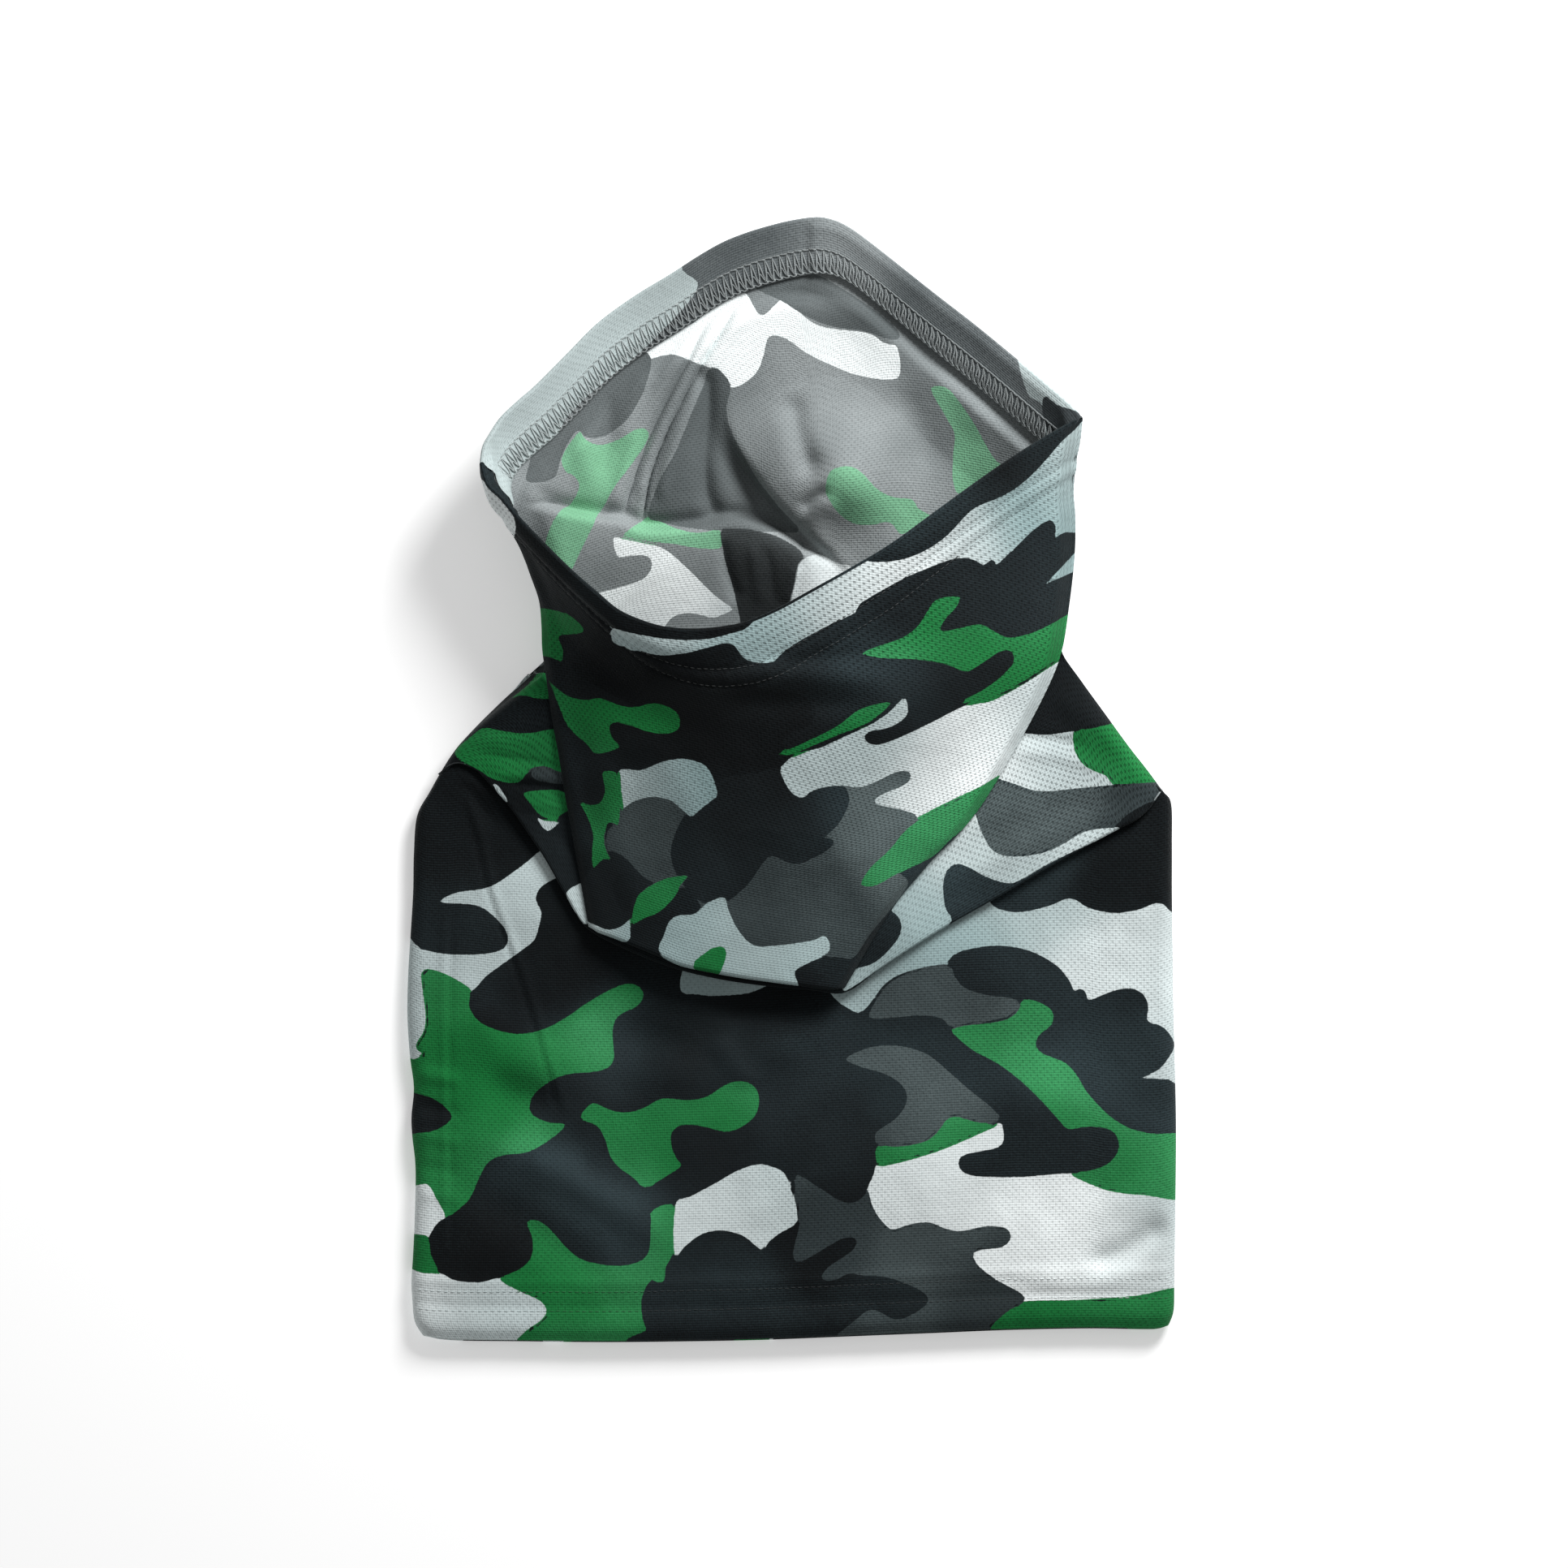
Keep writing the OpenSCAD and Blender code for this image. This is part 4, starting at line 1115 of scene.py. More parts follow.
# ------------------------------------------------------------------------------------------------
# Shoulders: the cloth that comes down over the lower cloth to the pleat
# ------------------------------------------------------------------------------------------------
SHOULDER_RIDGES = [
    # left: small creases pulled towards the cowl's corner
    (-0.9, 5.5, 0.3, "585,930 640,936 705,948"),
    (0.8, 6, 0.3, "598,952 650,957 706,962"),
    (-0.9, 5, 0.3, "612,966 660,968 710,978"),
    (0.6, 9, 0.3, "570,915 630,912 690,920"),
    (0.6, 7, 0.3, "640,990 680,992 712,1002"),
    (-0.5, 9, 0.3, "655,1020 690,1030 715,1060"),
    # right: cross creases and a soft swell above the pleat
    (-0.7, 6, 0.3, "1232,905 1300,912 1350,922"),
    (0.6, 8, 0.3, "1230,925 1300,932 1370,952"),
    (-0.6, 12, 0.3, "1240,985 1330,994 1420,978"),
    (0.9, 17, 0.3, "1130,1110 1240,1052 1360,1006"),
    (0.5, 14, 0.3, "1180,1020 1250,1000 1330,985"),
    (0.6, 14, 0.3, "1290,850 1330,880 1390,930")]


def pleat_lift(x):
    """Height of the shoulders' cloth over the lower cloth."""
    return 0.9 + 2.4 * smooth((x - 556) / 75) - 1.6 * smooth((x - 1395) / 35)


def shoulder_height(grid):
    x, y = grid[..., 0], grid[..., 1]
    z = 6.6 + 0.55 * LOW_WAVES(x, y) + 0.5 * smooth((1300 - y) / 150) + pleat_lift(x)
    z = z + 0.05 * FINE_WAVES(x, y) + 0.8 * smooth((980 - y) / 120)
    return z + relief(grid, SHOULDER_RIDGES)


shoulder_top = curve(SHOULDER_TOP, 10)
left_top, right_top = nearest(left_curve, SHOULDER_TOP[0]), nearest(right_curve, SHOULDER_TOP[-1])
shoulder_left = resample(left_curve[left_pleat: left_top + 1], SHOULDER_ROWS)
shoulder_right = resample(right_curve[right_pleat: right_top + 1], SHOULDER_ROWS)
shoulder_top[0], shoulder_top[-1] = shoulder_left[-1], shoulder_right[-1]
pleat_curve[0], pleat_curve[-1] = shoulder_left[0], shoulder_right[0]
shoulder_grid = patch(pleat_curve, shoulder_top, shoulder_left, shoulder_right,
                      spaced(SHOULDER_COLUMNS, 0.2))
shoulder_sheet = to_frame(shoulder_grid,
                          fold_down(shoulder_grid, shoulder_height(shoulder_grid), radius=5.0))
pleat_x = shoulder_grid[0, :, 0]
pleat_fade = end_fade(SHOULDER_COLUMNS, 12.0)
shoulder_sheet = roll_under(
    shoulder_sheet, normals(shoulder_sheet),
    radius=0.34 * pleat_lift(pleat_x) * (0.25 + 0.75 * pleat_fade),
    back=11.0 * pleat_fade * smooth((pleat_x - 600) / 70) * smooth((1415 - pleat_x) / 50))
shoulders = cloth("shoulder_cloth", shoulder_sheet, [knit_face, knit_reverse],
                  paint(on_sheet(shoulder_sheet), "K", SHOULDER_BLOBS), rims="bt")
hand_over(shoulders, ["upper_front_panel"], ["upper_tube"])

# ------------------------------------------------------------------------------------------------
# Cowl front
# ------------------------------------------------------------------------------------------------
# height of the cowl's middle at even steps from its lower edge to the rim
COWL_MIDDLE = [14.9, 17.6, 23.0, 30.5, 38.5, 45.5]
COWL_RIDGES = [
    (1.6, 17, 0.3, "870,838 960,832 1050,836 1120,846"),
    (-1.1, 15, 0.3, "880,868 980,866 1080,870"),
    (-0.7, 11, 0.3, "930,815 1000,812 1090,800"),
    (-1.4, 24, 0.3, "720,800 790,830 880,838"),
    (1.1, 26, 0.3, "700,860 760,905 830,925"),
    (1.0, 22, 0.3, "745,880 752,960 760,1050 780,1120"),
    (-0.8, 14, 0.3, "712,870 720,960 732,1050"),
    (1.3, 30, 0.3, "1308,660 1262,760 1190,870 1100,960"),
    (-0.9, 22, 0.3, "1316,740 1270,850 1200,950 1120,1050"),
    (0.9, 34, 0.3, "1120,800 1060,900 1010,1010"),
    (-0.8, 30, 0.3, "980,900 930,1000 900,1100"),
    (0.7, 24, 0.3, "860,950 850,1040 860,1130"),
    (0.8, 20, 0.3, "1220,930 1140,1030 1060,1140")]


def cowl_height(grid, u, v):
    """Height of the cowl's front; u and v run 0 to 1 from left to right and up to the rim."""
    x, y = grid[..., 0], grid[..., 1]
    left_z, right_z = side_heights(grid, COWL_LEFT_FOLD, COWL_RIGHT_FOLD)
    side = (1 - u) * left_z + u * right_z
    off_centre = np.abs(2 * u - 1)
    rise = curve(np.stack([np.linspace(0, 1, len(COWL_MIDDLE)), COWL_MIDDLE], 1), 16)
    middle = np.interp(v, rise[:, 0], rise[:, 1])
    z = side + (middle - side) * (1 - off_centre ** (2.0 + 0.9 * v))
    # rounded side folds where the cowl lies on the shoulders
    left, right = side_distances(grid)
    low = 1 - smooth((v - 0.35) / 0.45)
    z = z + low * 2.2 * np.minimum(rolled(left * UNIT, 7.0), rolled(right * UNIT, 8.0))
    z = z + relief(grid, COWL_RIDGES)
    z = z + (0.35 * LOW_WAVES(x + 300, y) * smooth(v / 0.2) * smooth((1 - v) / 0.2)
             * (1 - off_centre ** 4))
    return z + 0.05 * FINE_WAVES(x, y)


def hem_relief(depth):
    """Pull of the two stitch rows and the fullness between them and towards the rim."""
    return (-0.42 * np.exp(-((depth - ROW_A) / 1.0) ** 2)
            - 0.42 * np.exp(-((depth - ROW_B) / 1.0) ** 2)
            + 0.35 * np.exp(-((depth - 17.0) / 2.2) ** 2)
            + 0.45 * np.exp(-((depth - 6.5) / 4.5) ** 2))


cowl_left, cowl_right = (resample(curve(side, 10), COWL_ROWS) for side in (COWL_LEFT, COWL_RIGHT))
cowl_fractions = spaced(COWL_COLUMNS, 0.45)
cowl_rim, cowl_low = curve(RIM_FRONT, 10), curve(COWL_LOW, 10)
cowl_rim[0], cowl_rim[-1] = cowl_left[-1], cowl_right[-1]
cowl_low[0], cowl_low[-1] = cowl_left[0], cowl_right[0]
cowl_grid = patch(cowl_low, cowl_rim, cowl_left, cowl_right, cowl_fractions)
cowl_u, cowl_v = cowl_fractions[None, :], np.linspace(0, 1, COWL_ROWS)[:, None]

cowl_sheet = to_frame(cowl_grid, cowl_height(cowl_grid, cowl_u, cowl_v))
cowl_depth = column_length(cowl_sheet)
column = np.arange(COWL_COLUMNS)[None]
pucker = (0.10 * np.sin(column * 1.9 + 0.6 * np.sin(column * 0.7))
          * np.exp(-((cowl_depth - 17) / 5) ** 2))
cowl_sheet = cowl_sheet + (normals(cowl_sheet)
                           * (hem_relief(cowl_depth) + pucker)[..., None] / 1000)
cowl_normals = normals(cowl_sheet)
cowl_fade = end_fade(COWL_COLUMNS, 10.0)
cowl_full = roll_under(cowl_sheet, cowl_normals, radius=0.5 + 1.1 * cowl_fade,
                       back=20.0 * cowl_fade)
rolled_rows = len(cowl_full) - COWL_ROWS
cowl_full_grid = on_sheet(cowl_full)
cowl_full_grid[rolled_rows:] = cowl_grid
# a weight over the cowl's front, most in its middle and towards the rim; it is handed to the rim's
# stitch strip, which passes it on unused
cowl_weight = smooth(np.minimum(cowl_u, 1 - cowl_u) / 0.40) * smooth(cowl_v / 0.55)
cowl_front = cloth("cowl_front_cloth", cowl_full, [knit_face, knit_reverse],
                   paint(cowl_full_grid, "K", COWL_BLOBS), rims="b")
hand_over(cowl_front, ["cowl_front_panel", "cowl_tuck"],
          ["upper_tube", "cowl_front"])

# ------------------------------------------------------------------------------------------------
# Back of the upper tube, from the waist up to the back of the rim
# ------------------------------------------------------------------------------------------------
# plan distance from the rim and height of the back's middle, mm
BACK_MIDDLE = points("0,15.6 14,12.6 30,8.8 52,4.4 80,1.4 110,.3 400,0")
MOUTH_RIDGES = [
    # double pleat running down from the back of the rim
    (-1.7, 4.2, 0.1, "898,352 870,398 846,446 818,498 794,551 779,595 766,640"),
    (1.5, 9.0, 0.1, "888,352 858,398 832,446 804,498 780,551 765,595 752,640"),
    (1.5, 5.5, 0.1, "903,362 860,440 838,480 816,530 797,580 786,625"),
    (-2.3, 3.6, 0.1, "914,366 866,446 845,485 825,525 808,565 798,600 792,650"),
    (1.2, 7.0, 0.1, "925,372 880,446 858,490 838,530 822,575 812,625"),
    # crevice to the left of the pouch
    (-2.6, 11, 0.12, "868,448 872,500 868,552 872,612 893,640"),
    # hollow to the right of the pouch
    (-2.6, 15, 0.25, "975,480 984,530 997,570 1012,592"),
    (-1.8, 8, 0.3, "1024,600 1004,612 985,630"),
    (1.5, 15, 0.25, "1035,612 1010,632 1004,668 1006,690"),
    (-2.2, 8, 0.25, "982,640 990,662 994,684"),
    # small folds below the lip
    (-1.3, 7, 0.2, "890,660 895,700 912,745"),
    (0.9, 7, 0.25, "968,745 974,718 984,694"),
    (0.8, 5, 0.25, "925,662 930,700 938,750"),
    (-0.8, 5, 0.25, "942,668 950,705 955,750"),
    (-0.8, 4, 0.2, "660,612 700,626 760,640"),
    # soft pull on the right half
    (-1.5, 24, 0.3, "1095,470 1130,520 1150,590"),
    (1.2, 20, 0.3, "1150,430 1195,490 1215,550"),
    # beside the top of the rim
    (1.2, 8, 0.3, "935,345 960,338 985,332"),
    # left half
    (1.6, 18, 0.3, "690,500 720,560 735,620"),
    (-1.4, 13, 0.3, "748,460 748,540 728,615"),
    (1.2, 12, 0.3, "800,440 780,500 762,560")]
MOUTH_BUMPS = [
    (1.8, 838, 560, 20, 70, 12), (1.8, 960, 585, 22, 34, 30), (1.4, 1052, 540, 38, 60, -10),
    (-1.9, 670, 622, 16, 4.5, 8), (-3.6, 990, 360, 42, 13, 10), (-1.4, 1150, 445, 60, 14, 38),
    (-1.0, 700, 470, 50, 12, -42)]
# edge of the pouch that hangs over the crevice, and lip of the fold that crosses the throat
POUCH_EDGE = points("880,440 893,478 893,520 908,558 938,600 962,628 985,652 1040,700")
THROAT_LIP = points("""
650,612 690,628 730,636 765,641 800,652 860,648 905,640 950,652 1003,684 1040,705""")


def back_height(grid, depth):
    """Height of the back without its folds; depth is the plan distance from the rim, mm."""
    middle = np.interp(depth, BACK_MIDDLE[:, 0], BACK_MIDDLE[:, 1])
    ends = grid[:, -1:] - grid[:, :1]
    half = np.hypot(ends[..., 0], ends[..., 1]) * UNIT / 2
    # 0 in the flat lower part, 1 in the open cowl
    upper = smooth((900 - (grid[:, :1, 1] + grid[:, -1:, 1]) / 2) / 300)
    radius = 4.6 * (1 - upper) + upper * half * 0.92
    z = middle
    for distance, side_z in zip(side_distances(grid), side_heights(grid)):
        distance = distance * UNIT
        bowl = (1 - np.clip(distance / radius, 0, 1)) ** 2.3
        fall = (1 - upper) * (1 - rolled(distance, radius)) + upper * bowl
        z = z + (side_z - middle) * fall
    return z


def mouth_relief(grid):
    """Folds and pouches of the loose cloth inside the mouth."""
    x, y = grid[..., 0], grid[..., 1]
    z = relief(grid, MOUTH_RIDGES, MOUTH_BUMPS)
    distance, _, side = to_line(grid, curve(POUCH_EDGE, 8))
    right = np.where(side < 0, distance, -distance)
    from_pouch = np.hypot((x - 1000) / 96, (y - 578) / 84)
    field = np.exp(-np.maximum(0, from_pouch - 0.25) ** 2 * 1.6)
    top = 4.0 + 12.5 * smooth((y - 440) / 190)
    z = z + top * (0.5 * smooth((right + 2.5) / 10) + 0.5 * smooth((right - 4) / 95)) * field
    z = z - 2.6 * np.exp(-((right + 13) / 15) ** 2) * np.exp(-((y - 600) / 75) ** 2)
    # below the lip the cloth stands higher
    distance, _, side = to_line(grid, curve(THROAT_LIP, 8))
    below = np.where(side > 0, distance, -distance)
    across = smooth((x - 645) / 50) * smooth((1035 - x) / 40)
    z = z + (4.2 * smooth((below + 3) / 9) * np.exp(-(np.maximum(below, 0) / 85) ** 2)
             * across)
    return z - 1.8 * np.exp(-((below + 9) / 9) ** 2) * across


def above_cut(line, start):
    """A whole side curve from its point on the cut up to the rim."""
    return np.vstack([start, line[np.argmax(line[:, 1] < BEND_Y):]])


back_rows = np.concatenate([np.linspace(0, 0.55, 50, endpoint=False), np.linspace(0.55, 1, 146)])
back_left = resample(above_cut(left_curve, cut_line[0]), len(back_rows), back_rows)
back_right = resample(above_cut(right_curve, cut_line[1]), len(back_rows), back_rows)
back_rim = curve(RIM_BACK, 10)
back_rim[0], back_rim[-1] = back_left[-1], back_right[-1]
back_fractions = spaced(BACK_COLUMNS, 0.5)
back_grid = patch(cut_line, back_rim, back_left, back_right, back_fractions)
back_y = back_grid[..., 1]

back_plan = column_length(to_frame(back_grid, 0 * back_y))
mouth = smooth((back_plan - 19) / 9) * smooth((860 - back_y) / 70)
mouth = mouth * smooth(np.minimum(*side_distances(back_grid)) / 60)
back_z = back_height(back_grid, back_plan) + mouth * (mouth_relief(back_grid) + 4.2)
back_sheet = to_frame(back_grid, np.maximum(back_z, 0.0))
back_sheet = back_sheet - (normals(back_sheet)
                           * (hem_relief(column_length(back_sheet)) * 0.6)[..., None] / 1000)
back_sheet[..., 2] = np.maximum(back_sheet[..., 2], 0.0)
back_normals = normals(back_sheet)

in_mouth = smooth((840 - back_y) / 40) * smooth((back_y - 330) / 20
                                                + smooth((back_plan - 8) / 10))
back_print = [own * in_mouth + other * (1 - in_mouth)
              for own, other in zip(paint(back_grid, "D", INNER_BLOBS), wild(back_grid))]
upper_back = cloth("upper_back_cloth", back_sheet, [knit_face, knit_reverse],
                   round_fold(back_grid, back_print), flip=True, far=back_print)
hand_over(upper_back, ["upper_back_panel"], ["lower_back", "upper_tube"])

# ------------------------------------------------------------------------------------------------
# Back of the lower tube
# ------------------------------------------------------------------------------------------------
low_back_grid = patch(HEM_CURVE, cut_line, left_low, right_low, back_fractions)
low_back_z = fold_down(low_back_grid, 0 * low_back_grid[..., 0], radius=4.6)
low_back_sheet = to_frame(low_back_grid, np.maximum(low_back_z, 0))
lower_back = cloth("lower_back_cloth", low_back_sheet, [knit_face, knit_reverse],
                   round_fold(low_back_grid, wild(low_back_grid)), flip=True)
hand_over(lower_back, ["lower_back_panel"], ["lower_back"])

# ------------------------------------------------------------------------------------------------
# Turned hems
# ------------------------------------------------------------------------------------------------


def overlap(x, depth):
    """Extra height, in mm, where one end of the rim's band lies over the other."""
    past = x * 1000 / UNIT + ORIGIN[0] - 994
    return 1.0 * smooth(past / 8) * np.clip(np.asarray(depth) / 2, 0, 1)


band, band_depth = turned(cowl_sheet, cowl_normals, RIM_RADIUS, RIM_FRONT_DEPTH)
draw_in(band, band_depth, inward=2.6, lift=0.0)
rim_front_hem = cloth("rim_front_hem", band, [knit_face, knit_turned],
                      paint(on_sheet(band), "K", COWL_BLOBS[:2]), rims="t", thick=HEM_THICK)
hand_over(rim_front_hem, ["cowl_hem_front"], ["upper_tube", "cowl_front"])

band, band_depth = turned(back_sheet, -back_normals, RIM_RADIUS, RIM_BACK_DEPTH)
draw_in(band, band_depth, inward=3.2, lift=-0.4)
band[..., 2] += overlap(band[..., 0], band_depth) / 1000
rim_back_hem = cloth("rim_back_hem", band, [knit_turned, knit_reverse],
                     paint(on_sheet(band), "D", ALLOWANCE_BLOBS), flip=True, rims="t",
                     thick=HEM_THICK)
hand_over(rim_back_hem, ["cowl_hem_back"], ["upper_tube"])

# the lower sheets with the hem as their last row
hem_front_sheet, hem_front_normals = low_sheet[::-1].copy(), normals(low_sheet)[::-1]
hem_back_sheet, hem_back_normals = low_back_sheet[::-1].copy(), normals(low_back_sheet)[::-1]
hem_weight = low_weight[::-1]

band, _ = turned(hem_front_sheet, hem_front_normals, HEM_RADIUS, HEM_DEPTH)
hem_front = cloth("lower_front_hem", band, [knit_face, knit_reverse],
                  paint(on_sheet(band), "K", LOWER_BLOBS), flip=True, rims="t", thick=HEM_THICK)
hand_over(hem_front, ["lower_hem_front"], ["lower_back", "lower_front"])

band, _ = turned(hem_back_sheet, -hem_back_normals, HEM_RADIUS, HEM_DEPTH)
band[..., 2] = np.maximum(band[..., 2], 0.0)
band_grid = on_sheet(band)
hem_back = cloth("lower_back_hem", band, [knit_face, knit_reverse],
                 round_fold(band_grid, wild(band_grid)), rims="t", thick=HEM_THICK)
hand_over(hem_back, ["lower_hem_back"], ["lower_back"])

# ------------------------------------------------------------------------------------------------
# Sewing threads: strands laid on the cloth along the hems
# ------------------------------------------------------------------------------------------------


class Strip:
    """The cloth beside its last row, addressed by mm along that edge and mm in from it."""
    STEP, REACH = 0.25, 26.0

    def __init__(self, sheet, normal, weight=None, lift=None):
        self.lift = lift
        length = column_length(sheet)
        columns, count = sheet.shape[1], int(self.REACH / self.STEP) + 1
        depths = np.arange(count) * self.STEP
        weight = np.zeros(length.shape) if weight is None else weight
        stack = np.concatenate([sheet, normal, weight[..., None]], -1)[::-1]
        self.table = np.empty((columns, count, 7))
        for j in range(columns):
            for c in range(7):
                self.table[j, :, c] = np.interp(depths, length[::-1, j], stack[:, j, c])
        # lengths along the edge are measured 12 mm in from it
        self.arc = arc_length(self.table[:, int(12 / self.STEP), :3]) * 1000
        self.length = self.arc[-1]

    def span(self, start, end):
        """The stretch that leaves these margins at both ends, mm."""
        return start, self.length - end

    def at(self, along, depth, height):
        """Points, normals and weights at a height over the cloth."""
        columns, count, _ = self.table.shape
        column = np.clip(np.interp(along, self.arc, np.arange(columns)), 0, columns - 1.001)
        row = np.clip(np.asarray(depth) / self.STEP, 0, count - 1.001)
        i, j = column.astype(int), row.astype(int)
        f, g = (column - i)[..., None], (row - j)[..., None]
        table = self.table
        mixed = ((1 - f) * (1 - g) * table[i, j] + f * (1 - g) * table[i + 1, j]
                 + (1 - f) * g * table[i, j + 1] + f * g * table[i + 1, j + 1])
        normal = mixed[..., 3:6]
        normal = normal / np.maximum(np.linalg.norm(normal, axis=-1, keepdims=True), 1e-9)
        if self.lift is not None:
            height = height + np.where(height > 0.8, self.lift(mixed[..., 0], depth), 0)
        return mixed[..., :3] + normal * height[..., None] / 1000, normal, mixed[..., 6]


def strands(strip, along, depth, height, radius):
    """Six-sided strands from (strand, point) arrays: vertices, quads, uv and weights."""
    sides = 6
    centre, normal, weight = strip.at(along, depth, height)
    tangent = unit(np.gradient(centre, axis=1))
    across = unit(np.cross(tangent, normal))
    normal = np.cross(across, tangent)
    angle = 2 * np.pi * np.arange(sides) / sides
    radius = np.broadcast_to(radius, along.shape)[..., None, None] / 1000
    verts = centre[:, :, None] + radius * (
        np.cos(angle)[None, None, :, None] * normal[:, :, None]
        + np.sin(angle)[None, None, :, None] * across[:, :, None])
    count, length = along.shape
    index = np.arange(count * length * sides).reshape(count, length, sides)
    beside = np.roll(index, -1, axis=2)
    faces = [np.stack([index[:, :-1], beside[:, :-1], beside[:, 1:], index[:, 1:]],
                      -1).reshape(-1, 4)]
    for end, order in ((0, -1), (-1, 1)):
        ring = index[:, end]
        cap = np.concatenate([ring[:, [0, 1, 2, 3]], ring[:, [3, 4, 5, 0]]])
        faces.append(cap[:, ::order])
    steps = np.linalg.norm(np.diff(centre, axis=1), axis=2)
    run = np.concatenate([np.zeros((count, 1)), np.cumsum(steps, 1)], 1) * 1000
    uv = np.stack([np.broadcast_to(run[:, :, None], index.shape),
                   np.broadcast_to(angle[None, None] * 0.25, index.shape)], -1)
    return (verts.reshape(-1, 3), np.concatenate(faces), uv.reshape(-1, 2),
            np.repeat(weight.ravel(), sides))


def sew(name, parts, mat, dye=None):
    """Joins strands into one object; dye is the (base, blobs) of the cloth's print. Returns the
    object and its weights."""
    verts, faces, uv, weights = zip(*parts)
    starts = np.cumsum([0] + [len(part) for part in verts])
    verts = np.concatenate(verts)
    faces = np.concatenate([part + start for part, start in zip(faces, starts)])
    attrs = None if dye is None else print_attrs(paint(on_sheet(verts), *dye), verts)
    thing = make(name, verts, faces, [mat], np.concatenate(uv), attrs)
    return thing, np.concatenate(weights)


def stitches(strip, depth, pitch, fill, radius, height, rise, span, seed):
    """A row of separate stitches that taper at both ends; their middles lie rise higher."""
    rng = np.random.default_rng(seed)
    start, end = span
    n = int((end - start) / pitch)
    centre = start + (np.arange(n) + 0.5) * (end - start) / n + rng.normal(0, 0.05, n)
    t = np.linspace(-1, 1, 7)[None]
    along = centre[:, None] + 0.5 * fill * pitch * t
    depths = depth + rng.normal(0, 0.06, n)[:, None] + 0 * along
    heights = height + rise * (1 - np.abs(t) ** 2.5) + 0 * along
    radii = radius * (1 - 0.75 * np.abs(t) ** 4) * (1 + rng.normal(0, 0.05, n)[:, None])
    return strands(strip, along, depths, heights, radii)


def looping(strip, path, pitch, radius, height, span, seed, wobble=0.05):
    """One long strand that repeats path = [(fraction of the pitch, depth, height)]."""
    rng = np.random.default_rng(seed)
    start, end = span
    n = int((end - start) / pitch)
    path = np.array(path, float)
    count = n * len(path)
    along = (start + np.arange(n)[:, None] * pitch + path[None, :, 0] * pitch).ravel()
    along = along + rng.normal(0, wobble, count)
    depth = np.tile(path[:, 1], n) + rng.normal(0, wobble, count)
    line = curve(np.stack([along, depth, np.tile(path[:, 2], n)], 1), 4)
    return strands(strip, line[None, :, 0], line[None, :, 1], height + line[None, :, 2], radius)


LOOPER_PITCH, NEEDLE_PITCH, SEAM_PITCH = 2.45, 2.15, 2.3


def coverstitch(strip, needle, braid, height, span, seed):
    """Looper side of a two-needle coverstitch, from the needle row to the braided row."""
    middle = needle + 0.47 * (braid - needle)
    paths = [
        (0.2, [(0.0, needle + 0.3, 0.1), (0.28, middle, 0.28), (0.5, braid - 0.5, 0.12),
               (0.78, middle, 0.2)]),
        (0.18, [(0.12, needle + 1.2, 0.0), (0.34, middle + 0.6, 0.2), (0.62, braid - 0.9, 0.25),
                (0.85, middle + 0.3, 0.1)]),
        (0.2, [(0.0, middle + 0.4, 0.12), (0.35, braid - 1.6, 0.34), (0.75, braid - 0.1, 0.15),
               (0.55, braid - 1.2, 0.42), (0.7, middle + 1.2, 0.2)]),
        (0.2, [(0.0, braid - 0.4, 0.1), (0.4, braid + 0.15, 0.3), (0.8, braid - 0.35, 0.32),
               (0.65, braid - 0.75, 0.1)])]
    return [looping(strip, path, LOOPER_PITCH, radius, height, span, seed + i)
            for i, (radius, path) in enumerate(paths)]


def needle_rows(name, piece, strip, rows, seed, sides, mat, dye, bodies):
    """Two rows of needle stitches; sides holds the stitches on either face of the cloth."""
    for i, (letter, depth) in enumerate(zip("ab", rows)):
        parts = [stitches(strip, depth, NEEDLE_PITCH, seed=seed + 2 * i + j, **side)
                 for j, side in enumerate(sides)]
        thread, weights = sew(f"{name}_needle_{letter}", parts, mat, dye)
        hand_over(thread, [f"{piece}_needle_thread_{letter}"], bodies)


def looper(name, piece, strip, rows, height, span, seed, mat, dye, bodies):
    parts = coverstitch(strip, *rows, height, span, seed)
    thread, weights = sew(name + "_looper", parts, mat, dye)
    hand_over(thread, [piece + "_looper_thread"], bodies)


# back of the rim, where the inside shows
strip = Strip(back_sheet, back_normals, lift=overlap)
span = strip.span(4, 4)
on_band = 2 * RIM_RADIUS + 0.02       # height of the turned band over the cloth
rim_dye = ("D", ALLOWANCE_BLOBS)
outside = dict(pitch=LOOPER_PITCH, fill=0.86, radius=0.16, height=-0.02, rise=0.06, span=span)
row_a = [looping(strip, [(0.0, 9.7, 0.05), (0.25, 9.55, 0.25), (0.5, 9.72, 0.05),
                         (0.75, 9.9, 0.25)],
                 LOOPER_PITCH, radius=0.2, height=on_band, span=span, seed=21, wobble=0.03),
         stitches(strip, BACK_ROW_A, LOOPER_PITCH, fill=0.94, radius=0.22, height=on_band,
                  rise=0.22, span=span, seed=22),
         stitches(strip, BACK_ROW_A, seed=23, **outside)]
row_b = [stitches(strip, BACK_ROW_B, LOOPER_PITCH, fill=0.6, radius=0.2, height=on_band - 0.3,
                  rise=0.3, span=span, seed=24),
         stitches(strip, BACK_ROW_B - 0.2, seed=25, **outside)]
for letter, parts in (("a", row_a), ("b", row_b)):
    thread, _ = sew("rim_back_needle_" + letter, parts, rim_thread, rim_dye)
    hand_over(thread, ["cowl_back_needle_thread_" + letter], ["upper_tube"])
looper("rim_back", "cowl_back", strip, (BACK_ROW_A + 0.1, BACK_ROW_B), on_band, span, 31,
       rim_thread, rim_dye, ["upper_tube"])

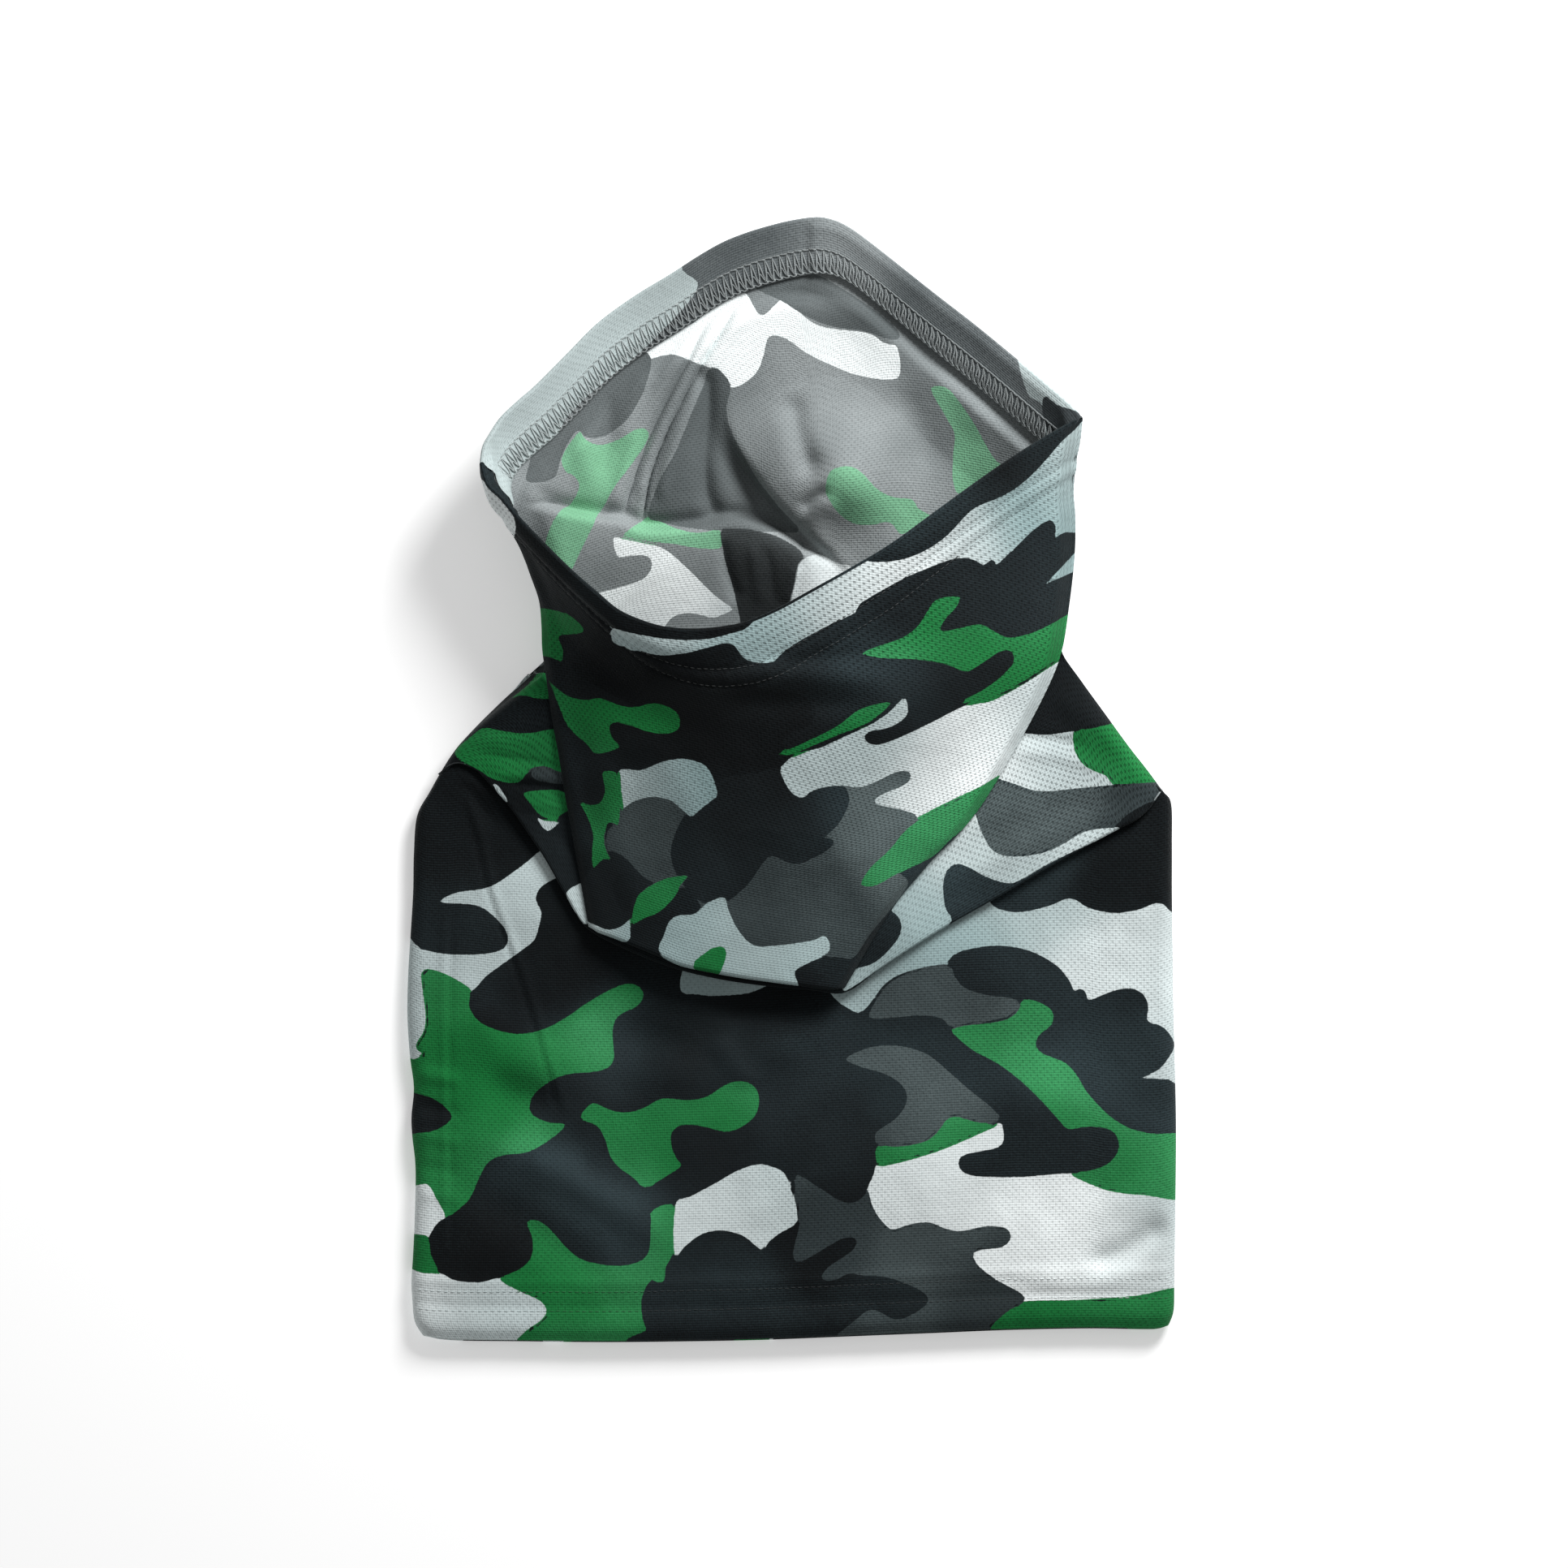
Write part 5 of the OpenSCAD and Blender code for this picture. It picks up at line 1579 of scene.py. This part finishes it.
# front of the rim
strip = Strip(cowl_sheet, cowl_normals, cowl_weight)
rows, bodies = (ROW_A, ROW_B), ["upper_tube", "cowl_front"]
needle_rows("rim_front", "cowl_front", strip, rows, 41, [
    dict(fill=0.74, radius=0.16, height=-0.08, rise=0.18, span=strip.span(5, 16)),
    dict(fill=0.9, radius=0.18, height=-on_band - 0.1, rise=-0.15, span=strip.span(3, 8))],
    needle_thread, ("K", COWL_BLOBS), bodies)
looper("rim_front", "cowl_front", strip, rows, -on_band - 0.35, strip.span(3, 3), 51,
       looper_thread, None, bodies)

# lower hem, front and back
rows = (HEM_ROW_A, HEM_ROW_B)
strip = Strip(hem_front_sheet, hem_front_normals, hem_weight)
bodies = ["lower_back", "lower_front"]
needle_rows("hem_front", "lower_front", strip, rows, 61, [
    dict(fill=0.74, radius=0.15, height=-0.08, rise=0.16, span=strip.span(3, 3)),
    dict(fill=0.9, radius=0.17, height=-1.6, rise=-0.15, span=strip.span(8, 8))],
    hem_thread, ("K", LOWER_BLOBS), bodies)
looper("hem_front", "lower_front", strip, rows, -1.9, strip.span(8, 8), 71, looper_thread, None,
       bodies)

strip = Strip(hem_back_sheet, hem_back_normals)
needle_rows("hem_back", "lower_back", strip, rows, 81, [
    dict(fill=0.74, radius=0.15, height=0.06, rise=-0.1, span=strip.span(3, 3)),
    dict(fill=0.9, radius=0.17, height=1.6, rise=0.15, span=strip.span(8, 8))],
    looper_thread, None, ["lower_back"])
looper("hem_back", "lower_back", strip, rows, 1.65, strip.span(8, 8), 91, looper_thread, None,
       ["lower_back"])

# ------------------------------------------------------------------------------------------------
# Side seam: both cut edges overlocked together, lying inside the left fold
# ------------------------------------------------------------------------------------------------


def seam(part, sheet, start, end, bodies):
    """Seam allowance, a slightly wavy ribbon, and its overlock threads, between two fractions of
    the sheet's left side."""
    strip = Strip(sheet.transpose(1, 0, 2)[::-1], normals(sheet).transpose(1, 0, 2)[::-1])
    start, end = start * strip.length, end * strip.length
    rows = 14
    along = np.linspace(start, end, int((end - start) / 1.6))[None] + np.zeros((rows, 1))
    t = np.linspace(0, 1, rows)[:, None]
    depth = SEAM_IN + (SEAM_OUT - SEAM_IN) * t + 0.12 * np.sin(along * 1.7)
    height = (0.78 + 0.75 * np.sqrt(np.clip(1 - (2 * t - 1) ** 4, 0, 1))
              + 0.08 * np.sin(along * 2.9 + 2 * t))
    ribbon, _, _ = strip.at(along, depth, height)
    if np.cross(ribbon[0, 1] - ribbon[0, 0], ribbon[1, 0] - ribbon[0, 0])[2] < 0:
        ribbon = ribbon[:, ::-1]      # the grid must face up
    allowance = cloth("seam_" + part, ribbon, [knit_turned, knit_turned], [0 * along - 9] * 4,
                      thick=0.55, rims="btlr")
    span = (start + 1, end - 1)
    thread = dict(pitch=SEAM_PITCH, radius=0.19, span=span)
    across = [(0.0, SEAM_IN + 0.9, 0.1), (0.2, SEAM_IN + 3, 0.2), (0.42, SEAM_OUT - 0.1, 0.05),
              (0.62, SEAM_IN + 3.2, 0.22)]
    edge = [(0.0, SEAM_OUT + 0.1, -0.2), (0.3, SEAM_OUT - 0.5, 0.2), (0.7, SEAM_OUT + 0.2, 0.1)]
    overlock, _ = sew(f"seam_{part}_thread", [
        looping(strip, across, height=1.5, seed=7, **thread),
        looping(strip, edge, height=1.5, seed=8, **thread),
        stitches(strip, SEAM_IN + 0.9, fill=0.85, height=1.55, rise=0.15, seed=9, **thread)],
        looper_thread)
    for thing, slot, piece in ((allowance, "seam_edge", "side_seam_"),
                               (overlock, "sewing_thread", "side_seam_thread_")):
        verts = np.empty(len(thing.data.vertices) * 3, np.float32)
        thing.data.vertices.foreach_get("co", verts)
        hand_over(thing, [piece + part], bodies)


seam("lower", low_back_sheet, 0.17, 1.0, ["lower_back"])
seam("upper", back_sheet, 0.0, 0.80, ["lower_back", "upper_tube"])

# ------------------------------------------------------------------------------------------------
# Floor, light and camera
# ------------------------------------------------------------------------------------------------
FLOOR_HALF, FLOOR_Z = 3, -0.0004                  # m
WORLD_LIGHT, WORLD_SEEN = 0.30, 0.90              # strength on the scene, and as the camera sees it
KEY_PLACE, KEY_SIZE, KEY_POWER = (0.42, 0.66, 0.53), 0.38, 12.2
KEY_TARGET = (0, 0, 0.01)

floor_white = bpy.data.materials.new("floor_white")
floor_white.use_nodes = True
floor_inputs = floor_white.node_tree.nodes["Principled BSDF"].inputs
for key, value in (("Base Color", (0.93, 0.93, 0.93, 1)), ("Roughness", 1.0),
                   ("Emission Color", (1, 1, 1, 1)), ("Emission Strength", 0.36),
                   ("Specular IOR Level", 0.0)):
    floor_inputs[key].default_value = value
floor = make("floor", [(x * FLOOR_HALF, y * FLOOR_HALF, FLOOR_Z)
                       for x, y in ((-1, -1), (1, -1), (1, 1), (-1, 1))],
             [(0, 1, 2, 3)], [floor_white])

scene = bpy.context.scene
world = bpy.data.worlds.new("studio")
scene.world = world
world.use_nodes = True
world_tree = world.node_tree
background = world_tree.nodes["Background"]
background.inputs[0].default_value = (1.0, 1.0, 1.0, 1)
light_path = world_tree.nodes.new("ShaderNodeLightPath")
glow = world_tree.nodes.new("ShaderNodeMath")
glow.operation = "MULTIPLY_ADD"
glow.inputs[1].default_value = WORLD_SEEN - WORLD_LIGHT
glow.inputs[2].default_value = WORLD_LIGHT
world_tree.links.new(light_path.outputs["Is Camera Ray"], glow.inputs[0])
world_tree.links.new(glow.outputs[0], background.inputs[1])

key_data = bpy.data.lights.new("key", "AREA")
key_data.shape = "SQUARE"
key_data.size = KEY_SIZE
key_data.energy = KEY_POWER
key_light = bpy.data.objects.new("key", key_data)
scene.collection.objects.link(key_light)
key_light.location = KEY_PLACE
aim = Vector(KEY_TARGET) - Vector(KEY_PLACE)
key_light.rotation_euler = aim.to_track_quat("-Z", "Y").to_euler()

camera_data = bpy.data.cameras.new("camera")
camera = bpy.data.objects.new("camera", camera_data)
scene.collection.objects.link(camera)
camera_data.lens = 200
camera_data.sensor_width = 36
camera_data.clip_end = 20
camera.location = ((AXIS[0] - ORIGIN[0]) * UNIT / 1000, (ORIGIN[1] - AXIS[1]) * UNIT / 1000,
                   CAMERA_HEIGHT / 1000)
camera.rotation_euler = (0, 0, 0)
scene.camera = camera
scene.view_settings.view_transform = "Standard"
scene.view_settings.look = "None"
scene.view_settings.exposure = 0.0
